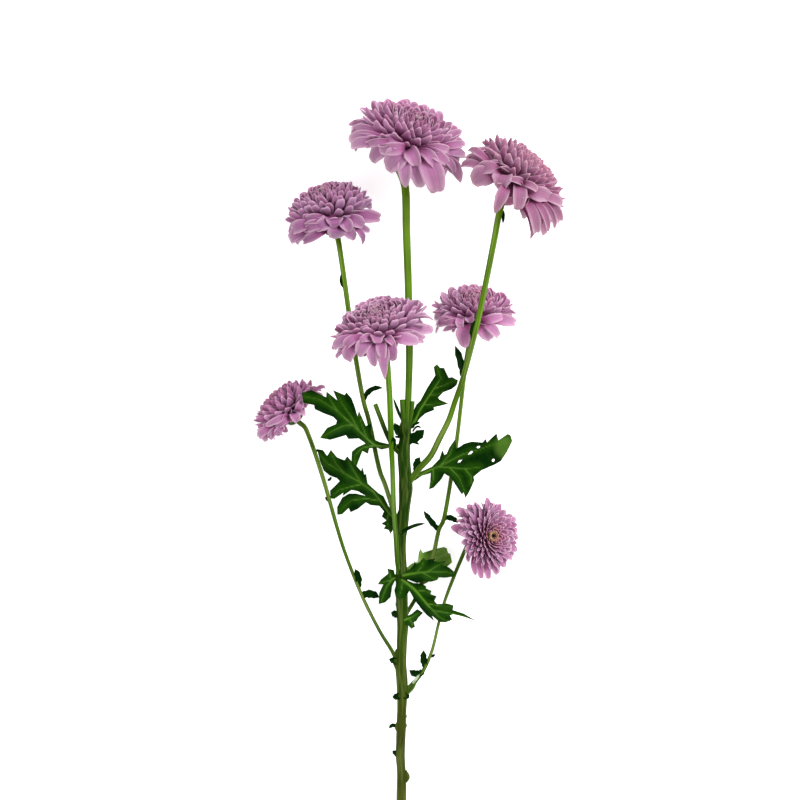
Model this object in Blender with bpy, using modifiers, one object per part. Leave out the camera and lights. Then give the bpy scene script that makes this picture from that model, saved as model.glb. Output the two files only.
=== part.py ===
"""Button pompon chrysanthemum: a cut spray of seven flower heads, lying on a surface.

Metres, +Z up. The spray lies along +Y with its cut end at -Y, the surface is z = 0, and the
origin is under the middle of the spray's outline. Lengths below are in millimetres.
"""
import math
import random

import bmesh
import bpy
from mathutils import Matrix, Vector

MM = 0.001
MIDDLE = Vector((5.0, 166.9, 0.0))      # middle of the outline, from the cut end's axis
GAP = 0.3                               # between pieces that grow out of one another
GOLDEN_ANGLE = math.radians(137.50776)

# Flower heads: the middle of the widest ring of florets, the radius there, how high the dome
# stands on it (share of the radius), how far the axis leans to +X and rises from the surface,
# and how far round the lowest florets hang (degrees from the axis).
HEADS = {
    "1": dict(middle=(2.7, 314.1, 23.9), radius=26.6, dome=0.72, lean=13, rise=25, hang=120),
    "2": dict(middle=(50.9, 295.7, 46.0), radius=25.4, dome=0.75, lean=47, rise=10, hang=112),
    "3": dict(middle=(-30.2, 280.8, 18.9), radius=21.5, dome=0.80, lean=-13, rise=22, hang=111),
    "4": dict(middle=(-7.9, 228.6, 46.5), radius=23.4, dome=0.68, lean=-15, rise=32, hang=117),
    "5": dict(middle=(33.5, 236.7, 17.0), radius=19.8, dome=0.75, lean=0, rise=22, hang=114),
    "6": dict(middle=(-47.7, 193.2, 16.0), radius=18.2, dome=0.76, lean=-42, rise=8, hang=106),
    "7": dict(middle=(36.0, 138.2, 24.0), radius=17.6, dome=0.65, lean=83, rise=60, hang=106),
}
FLORETS = 45                            # places on each head, the first few under its eye
FIRST_FLORET = 4
ROW_SPREAD = 0.80                       # under 1 sets the middle florets closer together
CORE_RADIUS = 0.52                      # shares of the head's radius
CORE_DOME = 0.62                        # of the dome's own height
CORE_FLOOR = 0.05
FLORET_OVERLAP = (0.84, 1.10)           # a floret's width to its room, at the eye and at the rim
FLORET_THICKNESS = 1.1
SEAT_DEPTH = 0.27                       # from the head's middle down to its stalk's end
STALK_NECK = 0.08                       # straight stretch of stalk under the seat
CALYX_RADIUS = 0.30
EYE_RADIUS = 0.10
EYE_HEIGHT = 0.13

# Stalks: x, y, z and radius at points along them, from the base to the flower head.
MAIN_STEM = [
    (0.0, 0.0, 1.8, 2.0), (0.0, 20, 3.9, 1.8), (-0.5, 33, 5.5, 1.9), (0.4, 47, 7.0, 1.8),
    (0.9, 65, 9.0, 1.85), (0.5, 83, 11.0, 1.8), (0.5, 101, 13.0, 2.0), (0.9, 119, 15.0, 2.1),
    (1.1, 131, 16.0, 1.9), (1.7, 146, 17.6, 2.3), (2.9, 159, 19.0, 2.5), (1.7, 171, 20.2, 2.3),
    (1.2, 178.5, 20.8, 2.8), (2.2, 183.5, 21.2, 2.2), (2.0, 187.5, 21.4, 2.4),
    (2.9, 193, 21.7, 1.4), (3.4, 200, 22.0, 1.3), (3.8, 222, 22.4, 1.45), (3.2, 249, 22.4, 1.5),
    (2.3, 276, 22.0, 1.55), (1.9, 295.5, 21.4, 1.6),
]
SIDE_STEMS = {
    "2": [(2.5, 161, 19.0, 1.3), (8.6, 168.3, 21.6, 1.25), (16.2, 177.3, 24.6, 1.25),
          (23.0, 190.8, 29.0, 1.3), (29.3, 208.8, 35.0, 1.4), (34.7, 229, 40.6, 1.5),
          (39.2, 249.3, 43.4, 1.5), (43.0, 271.8, 44.4, 1.5), (45.0, 285, 44.7, 1.6)],
    "3": [(0.8, 132, 15.8, 1.0), (-1.9, 142, 17.3, 1.0), (-4.5, 151.7, 17.7, 1.0),
          (-7.6, 161.6, 17.4, 1.0),
          (-10.4, 169.2, 17.0, 1.0), (-14.4, 189.9, 16.6, 1.05), (-17.1, 199.8, 16.4, 1.05),
          (-20.5, 216.9, 16.0, 1.1), (-23.4, 235.8, 15.9, 1.15), (-25.9, 253.8, 16.1, 1.2),
          (-28.0, 268.7, 17.2, 1.25)],
    "4": [(0.5, 118, 14.9, 1.0), (-0.7, 126.9, 18.3, 1.15), (-1.9, 136.8, 20.6, 1.15),
          (-3.1, 152.6, 22.6, 1.1), (-3.4, 168.3, 24.8, 1.1), (-4.0, 181.8, 27.6, 1.3),
          (-4.6, 199.8, 32.2, 1.3), (-5.5, 212.4, 37.2, 1.35), (-6.2, 219.5, 41.0, 1.4)],
    "5": [(1.2, 101.5, 12.8, 0.95), (6.8, 110.7, 11.6, 0.95), (10.4, 119.7, 11.0, 0.95),
          (14.0, 128.7, 10.8, 0.95), (16.7, 140.9, 10.6, 0.95), (19.3, 146.7, 10.6, 1.0),
          (22.5, 163.8, 10.8, 0.95), (25.2, 181.8, 11.5, 0.95), (27.5, 199.8, 12.6, 0.95),
          (29.8, 217.8, 14.4, 1.0), (32.2, 227.0, 15.6, 1.15)],
    "6": [(0.2, 80, 10.8, 0.9), (-3.2, 86.4, 10.6, 0.85), (-8.1, 94.0, 10.2, 0.8),
          (-13.0, 103.0, 10.3, 0.8), (-17.6, 112.0, 10.8, 0.8), (-22.0, 122.0, 11.5, 0.85),
          (-26.5, 132.3, 12.4, 0.85), (-29.7, 141.3, 13.3, 0.9), (-32.9, 152.6, 14.6, 0.9),
          (-35.6, 162.9, 15.6, 0.95), (-38.7, 173.7, 16.4, 1.0), (-41.2, 182.0, 16.7, 1.0),
          (-43.0, 187.0, 16.7, 1.05)],
    "7": [(1.2, 66.5, 9.2, 0.85), (4.5, 70.2, 8.8, 0.8), (10.4, 77.9, 8.2, 0.75),
          (14.4, 86.9, 8.0, 0.7), (17.6, 99.5, 8.4, 0.7), (20.3, 109.8, 9.8, 0.75),
          (24.3, 121.0, 12.4, 0.8), (27.0, 127.8, 14.6, 0.85), (29.5, 133.6, 17.0, 0.9),
          (31.6, 136.4, 18.8, 0.95)],
}


# Leaves: the outline seen from above, and the height above the surface at the leaf's foot,
# a share of the way along, and its tip. The foot is the outline's first point.
LEAVES = {
    "A": dict(outline=[
        (1.0, 179.6), (-5.3, 179.9), (-9.4, 180.8), (-12.0, 182.0), (-13.7, 184.7), (-13.3, 189.2),
        (-15.8, 188.1), (-18.9, 195.0), (-19.5, 192.2), (-20.6, 196.3), (-22.1, 200.4),
        (-24.5, 203.2), (-25.3, 202.0), (-30.5, 204.2), (-28.4, 199.5), (-33.3, 203.5),
        (-33.5, 201.0), (-40.2, 204.3), (-44.5, 202.9), (-43.6, 198.5), (-38.9, 197.5),
        (-38.6, 195.7), (-34.8, 193.9), (-30.5, 192.2), (-28.8, 190.5), (-29.2, 189.0),
        (-33.1, 187.3), (-36.3, 182.8), (-31.8, 181.9), (-24.7, 184.0), (-23.6, 182.3),
        (-18.9, 182.5), (-15.9, 180.3), (-19.9, 178.4), (-22.0, 176.6), (-22.2, 171.8),
        (-20.1, 169.8), (-18.4, 174.4), (-17.3, 176.9), (-15.0, 175.7), (-14.3, 178.0),
        (-11.1, 178.5), (-8.7, 177.6), (-5.3, 178.3), (1.0, 178.2)],
        tip=(-44.0, 201.0), heights=(19.6, 22.8, 36.5), bend_at=0.35, fold=0.10),
    "B": dict(outline=[
        (1.2, 146.0), (-4.6, 150.7), (-5.7, 152.0), (-7.9, 156.5), (-10.2, 157.8), (-15.0, 162.1),
        (-15.8, 166.4), (-16.6, 166.2), (-17.4, 169.4), (-18.0, 167.7), (-20.1, 170.1),
        (-22.3, 172.2), (-24.2, 174.4), (-25.5, 172.6), (-28.8, 173.9), (-31.6, 177.3),
        (-33.3, 174.6), (-35.2, 177.2), (-37.9, 177.7), (-36.5, 172.2), (-34.8, 167.9),
        (-32.2, 165.8), (-28.8, 164.5), (-27.6, 163.2), (-28.8, 161.9), (-32.0, 158.9),
        (-31.7, 155.4), (-30.0, 155.2), (-26.0, 158.0), (-26.2, 156.6), (-22.3, 159.3),
        (-19.3, 158.6), (-15.6, 156.5), (-20.1, 157.6), (-23.4, 157.6), (-26.5, 155.8),
        (-28.8, 151.5), (-28.7, 148.1), (-26.6, 148.3), (-23.6, 151.1), (-22.7, 149.2),
        (-19.5, 150.7), (-15.8, 153.7), (-13.7, 152.4), (-9.8, 152.1), (-7.7, 149.6),
        (-8.7, 147.3), (-6.6, 145.6), (-8.8, 144.0), (-6.9, 143.2), (-7.8, 141.9),
        (-5.6, 141.3), (-4.8, 139.4), (-3.6, 141.4), (1.2, 143.4)],
        tip=(-37.0, 176.0), heights=(16.3, 14.2, 12.6), bend_at=0.3, fold=-0.02),
    "C": dict(outline=[
        (2.0, 188.0), (4.4, 192.5), (7.0, 197.7), (8.7, 199.4), (12.1, 205.8), (15.4, 210.8),
        (14.7, 214.5), (16.2, 215.8), (17.5, 214.2), (19.2, 214.2), (21.4, 209.8), (22.9, 210.1),
        (25.6, 208.6), (25.0, 206.5), (22.9, 204.8), (19.0, 203.3), (16.7, 200.9), (17.3, 200.0),
        (21.3, 198.1), (17.7, 197.2), (14.7, 196.5), (14.9, 195.3), (11.1, 193.8), (8.3, 191.4),
        (5.7, 187.3), (2.0, 185.6)],
        tip=(18.5, 213.0), heights=(19.8, 20.6, 26.0), bend_at=0.4, fold=0.14),
    "D": dict(outline=[
        (3.0, 164.8), (6.1, 166.2), (9.5, 167.7), (13.9, 169.7), (17.3, 173.3), (18.6, 177.2),
        (19.5, 175.1), (20.5, 175.5), (21.8, 178.5), (24.4, 182.2), (25.0, 177.9), (28.5, 180.2),
        (31.9, 181.1), (36.7, 180.7), (38.0, 182.4), (38.7, 180.7), (42.9, 184.8), (43.8, 181.7),
        (47.9, 184.5), (49.2, 183.9), (50.0, 181.3), (47.4, 176.1), (44.9, 172.3), (42.3, 170.8),
        (36.2, 168.2), (32.6, 165.2), (33.0, 163.7), (31.1, 159.3), (29.0, 155.7), (28.1, 158.3),
        (27.4, 157.2), (25.3, 160.4), (22.5, 164.9), (19.5, 166.7), (18.4, 164.5), (14.7, 160.4),
        (12.6, 159.6), (13.2, 162.8), (13.4, 167.0), (9.5, 165.8), (6.5, 163.7), (3.0, 162.4)],
        tip=(49.0, 180.0), heights=(17.0, 18.4, 24.0), bend_at=0.3, fold=0.08),
    "E": dict(outline=[
        (0.4, 121.6), (3.4, 122.9), (5.7, 125.6), (6.1, 127.4), (6.7, 126.0), (8.0, 126.5),
        (10.2, 128.9), (11.3, 127.7), (15.4, 128.5), (14.6, 127.3), (17.3, 126.9), (20.2, 127.3),
        (18.9, 125.6), (21.6, 124.4), (24.9, 121.7), (23.7, 120.3), (20.1, 119.8), (17.0, 119.9),
        (16.2, 118.7), (13.3, 118.0), (10.0, 118.6), (7.3, 117.4), (4.2, 118.6), (0.4, 119.8)],
        tip=(24.5, 121.5), heights=(18.7, 19.0, 16.4), bend_at=0.5, fold=0.06),
    "F": dict(outline=[
        (0.4, 119.4), (5.7, 117.4), (9.2, 117.2), (11.3, 115.9), (11.3, 114.9), (13.7, 113.9),
        (13.3, 112.4), (16.0, 111.4), (15.0, 109.3), (16.2, 107.9), (20.8, 108.1), (23.7, 107.2),
        (23.3, 105.2), (28.6, 103.4), (33.8, 100.2), (28.2, 102.1), (24.3, 103.5), (22.0, 102.7),
        (23.1, 100.8), (20.1, 99.6), (17.3, 99.8), (13.9, 102.7), (15.0, 100.2), (11.9, 102.7),
        (10.0, 104.6), (6.1, 109.7), (3.8, 113.9), (2.2, 111.6), (-0.1, 110.5), (-2.4, 111.2),
        (-3.0, 114.1), (-1.6, 118.6)],
        tip=(30.0, 102.0), heights=(17.8, 17.6, 13.0), bend_at=0.35, fold=0.0),
    "G": dict(outline=[
        (0.6, 120.6), (-2.8, 121.3), (-3.2, 123.2), (-6.1, 123.8), (-5.7, 121.7), (-9.0, 119.0),
        (-10.4, 116.8), (-8.0, 116.7), (-9.8, 112.8), (-10.0, 107.9), (-7.1, 108.7),
        (-4.7, 111.0), (-4.0, 115.9), (-2.8, 118.2), (0.6, 118.8)],
        tip=(-9.5, 109.0), heights=(14.2, 15.0, 16.0), bend_at=0.4, fold=0.05),
    "H": dict(outline=[
        (1.6, 123.4), (4.9, 126.0), (7.8, 126.8), (8.0, 130.4), (8.7, 132.7), (9.8, 130.8),
        (14.2, 132.2), (19.3, 133.4), (20.6, 132.9), (21.2, 130.8), (22.2, 130.4), (23.0, 126.5),
        (21.2, 124.8), (16.0, 121.0), (11.9, 117.4), (10.0, 116.5), (7.3, 117.8), (1.6, 120.6)],
        tip=(22.0, 130.0), heights=(13.2, 8.2, 6.0), bend_at=0.3, fold=0.0),
    "I": dict(outline=[
        (1.2, 101.6), (4.9, 103.5), (7.3, 105.6), (10.0, 103.9), (8.0, 101.9), (6.9, 100.2),
        (5.7, 99.6), (6.3, 97.7), (4.6, 96.7), (3.4, 98.1), (1.2, 99.4)],
        tip=(9.0, 103.5), heights=(14.6, 15.0, 14.2), bend_at=0.5, fold=0.03),
}
LEAF_THICKNESS = 0.6
LEAF_CUTS = (0.2, 0.4, 0.6, 0.8)        # cross lines that let a leaf bend

# Bracts and buds that grow from a stalk: foot, knee, tip, width and thickness.
BRACTS = {
    "main": [
        ((-0.5, 103, 13.4), (-1.8, 103.6, 13.8), (-3.4, 104.2, 14.2), 2.6, 1.6),
        ((0.2, 40, 6.4), (-2.4, 40.6, 6.8), (-3.4, 43.0, 7.0), 2.0, 1.1),
        ((-0.2, 52, 7.4), (-3.2, 52.4, 8.0), (-5.0, 54.6, 8.6), 1.6, 0.9),
        ((1.4, 31, 5.4), (2.8, 31.6, 5.8), (3.8, 32.6, 6.2), 2.4, 1.2),
        ((0.4, 82, 11.2), (-1.8, 83.0, 12.0), (-4.6, 86.0, 12.6), 2.4, 1.2),
        ((1.0, 66, 9.2), (-1.4, 66.6, 10.2), (-3.8, 68.4, 10.8), 2.6, 1.2),
        ((1.6, 185.5, 21.6), (-0.6, 187.6, 22.2), (-2.4, 190.6, 22.6), 2.6, 1.0),
        ((2.4, 182.5, 21.4), (6.2, 181.8, 22.4), (9.4, 184.0, 22.6), 3.6, 1.3),
    ],
    "2": [
        ((45.6, 285, 44.4), (46.9, 284.6, 44.6), (46.3, 279.4, 44.4), 1.6, 1.0),
        ((8.0, 167.8, 21.4), (7.4, 170.6, 21.6), (9.2, 172.6, 21.8), 2.6, 1.0),
    ],
    "3": [
        ((-17.0, 199.5, 16.4), (-14.2, 204.2, 17.4), (-8.4, 206.0, 18.4), 1.8, 0.8),
        ((-25.4, 250.4, 16.1), (-27.6, 252.0, 16.4), (-27.0, 256.4, 16.6), 1.2, 0.8),
    ],
    "4": [((-3.9, 178.4, 26.8), (-2.2, 181.0, 28.0), (-3.2, 183.6, 29.2), 2.2, 0.9)],
    "5": [
        ((16.9, 141.4, 10.6), (14.0, 145.0, 10.9), (10.6, 149.6, 11.2), 2.4, 0.9),
        ((19.2, 146.6, 10.6), (23.0, 147.6, 10.7), (25.8, 144.4, 10.8), 2.4, 0.9),
        ((28.0, 203.0, 12.9), (28.2, 213.0, 12.9), (25.4, 222.6, 12.4), 2.8, 0.9),
    ],
    "6": [
        ((-19.2, 115.4, 11.1), (-18.4, 120.4, 12.0), (-20.8, 124.0, 12.8), 2.8, 0.9),
        ((-17.4, 111.8, 10.8), (-13.6, 113.8, 11.2), (-9.9, 111.2, 11.8), 3.6, 0.9),
    ],
    "7": [
        ((11.6, 80.6, 8.0), (9.4, 82.6, 8.6), (9.6, 86.0, 9.2), 2.8, 1.0),
        ((5.6, 71.2, 8.6), (6.0, 74.6, 9.2), (9.6, 76.6, 10.0), 2.8, 1.0),
    ],
}

# Side shoots that were cut off, at the top of the main stem: x, y, z and radius.
STUBS = [
    [(0.8, 174.5, 20.4, 1.1), (-4.6, 181.6, 23.2, 1.0), (-11.3, 198.0, 26.2, 1.05)],
    [(1.6, 186.5, 21.6, 1.1), (0.9, 193.0, 22.2, 1.0), (0.3, 200.2, 22.6, 1.1)],
    [(2.8, 186.5, 21.8, 0.9), (5.0, 193.4, 22.9, 0.85), (5.6, 199.0, 23.6, 0.85)],
]


def start_scene(name):
    """Empty the scene and give it a collection for the parts and one for the cutters."""
    for thing in list(bpy.data.objects):
        bpy.data.objects.remove(thing, do_unlink=True)
    parts = bpy.data.collections.new(name)
    cutters = bpy.data.collections.new("cutters")
    for collection in (parts, cutters):
        bpy.context.scene.collection.children.link(collection)
    return parts, cutters


def material(name, colour, roughness):
    shade = bpy.data.materials.new(name)
    shade.use_nodes = True
    shader = shade.node_tree.nodes["Principled BSDF"]
    shader.inputs["Base Color"].default_value = (*colour, 1.0)
    shader.inputs["Roughness"].default_value = roughness
    shader.inputs["Metallic"].default_value = 0.0
    return shade


def place(point):
    """A point in millimetres from the cut end's axis, in metres from the origin."""
    return (Vector(point[:3]) - MIDDLE) * MM


def add_object(name, mesh, collection, shade=None):
    piece = bpy.data.objects.new(name, mesh)
    collection.objects.link(piece)
    if shade:
        mesh.materials.clear()
        mesh.materials.append(shade)
    return piece


def bake(piece):
    """Apply a piece's modifiers to its mesh."""
    bpy.context.view_layer.update()
    seen = piece.evaluated_get(bpy.context.evaluated_depsgraph_get())
    mesh = bpy.data.meshes.new_from_object(seen)
    piece.modifiers.clear()
    piece.data = mesh


def join(piece, others, solver="EXACT"):
    """Fuse a piece with every object of a collection, then remove those."""
    union = piece.modifiers.new("union", "BOOLEAN")
    union.operation = "UNION"
    union.operand_type = "COLLECTION"
    union.collection = others
    union.solver = solver
    bake(piece)
    for thing in list(others.objects):
        bpy.data.objects.remove(thing, do_unlink=True)
    bpy.data.collections.remove(others)


def cut(piece, cutter, solver="EXACT"):
    difference = piece.modifiers.new("cut", "BOOLEAN")
    difference.operation = "DIFFERENCE"
    difference.object = cutter
    difference.solver = solver
    bake(piece)


def tube(name, points, collection, shade=None, sides=6, swell=0.0):
    """A round stalk through points that hold x, y, z and radius, with capped ends."""
    curve = bpy.data.curves.new(name, "CURVE")
    curve.dimensions = "3D"
    curve.resolution_u = 2
    curve.bevel_depth = MM
    curve.bevel_resolution = (sides - 4) // 2
    curve.use_fill_caps = True
    spline = curve.splines.new("BEZIER")
    spline.bezier_points.add(len(points) - 1)
    for knot, point in zip(spline.bezier_points, points):
        knot.co = place(point)
        knot.radius = point[3] + swell
        knot.handle_left_type = knot.handle_right_type = "AUTO"
    guide = bpy.data.objects.new(name, curve)
    collection.objects.link(guide)
    bpy.context.view_layer.update()
    seen = guide.evaluated_get(bpy.context.evaluated_depsgraph_get())
    mesh = bpy.data.meshes.new_from_object(seen)
    bpy.data.objects.remove(guide, do_unlink=True)
    mould = bmesh.new()
    mould.from_mesh(mesh)
    bmesh.ops.remove_doubles(mould, verts=mould.verts, dist=0.001 * MM)
    bmesh.ops.recalc_face_normals(mould, faces=mould.faces)
    mould.to_mesh(mesh)
    mould.free()
    return add_object(name, mesh, collection, shade)


def head_turn(head):
    """The turn that takes a head's own +Z to its axis."""
    lean, rise = math.radians(head["lean"]), math.radians(head["rise"])
    flat = math.cos(rise)
    axis = Vector((flat * math.sin(lean), flat * math.cos(lean), math.sin(rise)))
    return axis.to_track_quat("Z", "Y").to_matrix().to_4x4(), axis


def head_seat(head, depth=SEAT_DEPTH):
    """The point on a head's axis, a share of its radius below its middle."""
    axis = head_turn(head)[1]
    return Vector(head["middle"]) - axis * head["radius"] * depth


def stalk_end(head, radius):
    """The last two points of a stalk, in line with its head's axis."""
    depths = (SEAT_DEPTH + STALK_NECK, SEAT_DEPTH)
    return [(*head_seat(head, depth), radius) for depth in depths]


def dome_reach(angle, dome):
    """How far the tips stand from the head's middle, as a share of its radius."""
    if angle >= math.pi / 2:
        return 1.0
    return 1.0 / math.hypot(math.cos(angle) / dome, math.sin(angle))


def bend(start, control, end, t):
    """A point on the curve that leaves start towards control and reaches end."""
    return start * (1 - t) ** 2 + control * 2 * t * (1 - t) + end * t * t


def blade(mould, path, across, widths, thickness, outward):
    """A three-sided blade along a path: two edges and a ridge, narrowing to a tip."""
    rings = []
    for spot, width in zip(path[:-1], widths):
        corners = (spot + across * width / 2, spot - across * width / 2,
                   spot + outward * thickness)
        rings.append([mould.verts.new(corner) for corner in corners])
    tip = mould.verts.new(path[-1])
    mould.faces.new(rings[0])
    for low, high in zip(rings, rings[1:]):
        for i in range(3):
            j = (i + 1) % 3
            mould.faces.new((low[i], low[j], high[j], high[i]))
    for i in range(3):
        mould.faces.new((rings[-1][i], rings[-1][(i + 1) % 3], tip))
    bmesh.ops.recalc_face_normals(mould, faces=mould.faces)
    bmesh.ops.triangulate(mould, faces=mould.faces)


def floret(head, order, draw):
    """One floret of a head, in the head's own frame, as a mesh in metres."""
    share = (order + 0.6) / FLORETS
    hang = math.radians(head["hang"])
    angle = hang * share ** ROW_SPREAD
    turn = order * GOLDEN_ANGLE + draw.uniform(-0.08, 0.08)
    room = math.sqrt(2 * math.pi * math.sin(min(angle, math.pi / 2)) * ROW_SPREAD * hang
                     / FLORETS * share ** (ROW_SPREAD - 1))
    width = room * (FLORET_OVERLAP[0] * (1 - share) + FLORET_OVERLAP[1] * share)
    lower = min(1.0, max(0.0, (angle - math.radians(55)) / math.radians(45)))
    reach = dome_reach(angle, head["dome"]) * draw.uniform(0.95, 1.02)
    root_angle = min(angle * 0.9, math.radians(88))
    knee_angle = angle + math.radians(7 - 32 * lower)
    knee_reach = reach * (0.72 + 0.06 * lower)

    def spot(tilt, distance):
        return Vector((distance * math.sin(tilt), 0, distance * math.cos(tilt)))

    start = spot(root_angle, CORE_RADIUS * 0.45)
    knee = spot(knee_angle, knee_reach)
    end = spot(angle, reach)
    steps = (0.0, 0.55, 0.86, 1.0)
    path = [bend(start, knee, end, t) for t in steps]
    middle_way = (path[2] - path[1]).normalized()
    outward = Vector((middle_way.z, 0, -middle_way.x)) * (1 - 2 * round(lower))
    size = head["radius"]
    spin = Matrix.Rotation(turn, 4, "Z") @ Matrix.Scale(size * MM, 4)
    roll = Matrix.Rotation(draw.uniform(-0.25, 0.25), 4, middle_way)
    across = roll @ Vector((0, 1, 0))
    outward = roll @ outward
    widths = (width * 0.55, width, width * 0.8)
    mould = bmesh.new()
    blade(mould, path, across, widths, FLORET_THICKNESS / size, outward)
    mould.transform(spin)
    mesh = bpy.data.meshes.new("floret")
    mould.to_mesh(mesh)
    mould.free()
    return mesh


def core(head):
    """The packed bases of the florets: a bun with a flat floor."""
    mould = bmesh.new()
    bmesh.ops.create_uvsphere(mould, u_segments=14, v_segments=8, radius=1.0)
    for vert in mould.verts:
        vert.co.x *= CORE_RADIUS
        vert.co.y *= CORE_RADIUS
        vert.co.z *= head["dome"] * CORE_DOME if vert.co.z > 0 else CORE_FLOOR
    mould.transform(Matrix.Scale(head["radius"] * MM, 4))
    mesh = bpy.data.meshes.new("core")
    mould.to_mesh(mesh)
    mould.free()
    return mesh


def florets(key, head, parts, shade, floor):
    """All florets of one head, fused on its core and pressed flat where they meet the floor."""
    draw = random.Random(int(key))
    frame = Matrix.Translation(place(head["middle"])) @ head_turn(head)[0]
    mesh = core(head)
    mesh.transform(frame)
    piece = add_object(f"florets_{key}", mesh, parts, shade)
    blades = bpy.data.collections.new(f"blades_{key}")
    bpy.context.scene.collection.children.link(blades)
    for order in range(FIRST_FLORET, FLORETS):
        leaflet = floret(head, order, draw)
        leaflet.transform(frame)
        add_object(f"floret_{key}_{order}", leaflet, blades)
    join(piece, blades, "MANIFOLD")
    if head["middle"][2] < head["radius"] + 1:
        cut(piece, floor)
    piece.data.materials.clear()
    piece.data.materials.append(shade)
    return piece


def calyx(key, head, parts, shade):
    """The green cup of bracts under a head's florets."""
    size = head["radius"]
    segments = 12
    rings = [(0.085, SEAT_DEPTH), (0.75 * CALYX_RADIUS, 0.20), (CALYX_RADIUS, 0.11)]
    mould = bmesh.new()
    levels = []
    for radius, depth in rings:
        ring = bmesh.ops.create_circle(mould, cap_ends=False, segments=segments,
                                       radius=radius * size * MM)["verts"]
        bmesh.ops.translate(mould, verts=ring, vec=(0, 0, (GAP - depth * size) * MM))
        levels.append(ring)
    for i, vert in enumerate(levels[-1]):
        if i % 2:
            vert.co.x *= 0.86
            vert.co.y *= 0.86
            vert.co.z -= 0.03 * size * MM
    for low, high in zip(levels, levels[1:]):
        for i in range(segments):
            j = (i + 1) % segments
            mould.faces.new((low[i], low[j], high[j], high[i]))
    mould.faces.new(levels[0])
    hub = mould.verts.new((0, 0, -(CORE_FLOOR * size + GAP * 2) * MM))
    for i in range(segments):
        mould.faces.new((levels[-1][i], levels[-1][(i + 1) % segments], hub))
    bmesh.ops.recalc_face_normals(mould, faces=mould.faces)
    mould.transform(Matrix.Translation(place(head["middle"])) @ head_turn(head)[0])
    mesh = bpy.data.meshes.new("calyx")
    mould.to_mesh(mesh)
    mould.free()
    return add_object(f"calyx_{key}", mesh, parts, shade)


def eye(key, head, parts, shade):
    """The button of unopened florets in the middle of a head, on its core."""
    size = head["radius"]
    foot = (head["dome"] * CORE_DOME + EYE_HEIGHT * 0.5) * size + GAP
    mould = bmesh.new()
    bmesh.ops.create_uvsphere(mould, u_segments=7, v_segments=4, radius=1.0)
    for i, vert in enumerate(mould.verts):
        bump = 1.0 if i % 2 else 0.86
        vert.co.x *= EYE_RADIUS * size * bump
        vert.co.y *= EYE_RADIUS * size * bump
        vert.co.z *= EYE_HEIGHT * size * 0.5 * bump
    bmesh.ops.translate(mould, verts=mould.verts, vec=(0, 0, foot))
    mould.transform(Matrix.Scale(MM, 4))
    mould.transform(Matrix.Translation(place(head["middle"])) @ head_turn(head)[0])
    mesh = bpy.data.meshes.new("eye")
    mould.to_mesh(mesh)
    mould.free()
    return add_object(f"eye_{key}", mesh, parts, shade)


def add_bracts(stem, key):
    """Fuse a stalk's bracts and buds to it."""
    grown = bpy.data.collections.new(f"bracts_{key}")
    bpy.context.scene.collection.children.link(grown)
    for order, (foot, knee, tip, width, thickness) in enumerate(BRACTS[key]):
        foot, knee, tip = (place(spot) for spot in (foot, knee, tip))
        path = [bend(foot, knee, tip, t) for t in (0.0, 0.4, 0.75, 1.0)]
        along = (path[2] - path[1]).normalized()
        outward = (Vector((0, 0, 1)) - along * along.z).normalized()
        across = along.cross(outward)
        mould = bmesh.new()
        blade(mould, path, across, (0.6 * width * MM, width * MM, 0.8 * width * MM),
              thickness * MM, outward)
        mesh = bpy.data.meshes.new("bract")
        mould.to_mesh(mesh)
        mould.free()
        add_object(f"bract_{key}_{order}", mesh, grown)
    join(stem, grown)


def leaf(key, plan, parts, shade):
    """A lobed blade: its outline seen from above, creased along the rib and bent by heights."""
    outline = [Vector((x, y, 0)) for x, y in plan["outline"]]
    foot = (outline[0] + outline[-1]) / 2
    rib = Vector((*plan["tip"], 0)) - foot
    across = Vector((-rib.y, rib.x, 0)).normalized()
    mould = bmesh.new()
    mould.faces.new([mould.verts.new(corner) for corner in outline])
    planes = [(foot, across)] + [(foot + rib * share, rib.normalized()) for share in LEAF_CUTS]
    for spot, normal in planes:
        everything = mould.verts[:] + mould.edges[:] + mould.faces[:]
        bmesh.ops.bisect_plane(mould, geom=everything, dist=0.02, plane_co=spot, plane_no=normal)
    bmesh.ops.triangulate(mould, faces=mould.faces)
    low, middle, high = plan["heights"]
    for vert in mould.verts:
        share = min(1.1, max(0.0, (vert.co - foot).dot(rib) / rib.length_squared))
        side = abs((vert.co - foot).dot(across))
        at = plan["bend_at"]
        vert.co.z = (low * (share - at) * (share - 1) / at
                     + middle * share * (share - 1) / (at * (at - 1))
                     + high * share * (share - at) / (1 - at)
                     + plan["fold"] * side)
        vert.co = place(vert.co)
    bmesh.ops.recalc_face_normals(mould, faces=mould.faces)
    mesh = bpy.data.meshes.new(f"leaf_{key}")
    mould.to_mesh(mesh)
    mould.free()
    piece = add_object(f"leaf_{key}", mesh, parts, shade)
    shell = piece.modifiers.new("thickness", "SOLIDIFY")
    shell.thickness = LEAF_THICKNESS * MM
    shell.offset = 0.0
    bake(piece)
    return piece


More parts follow.
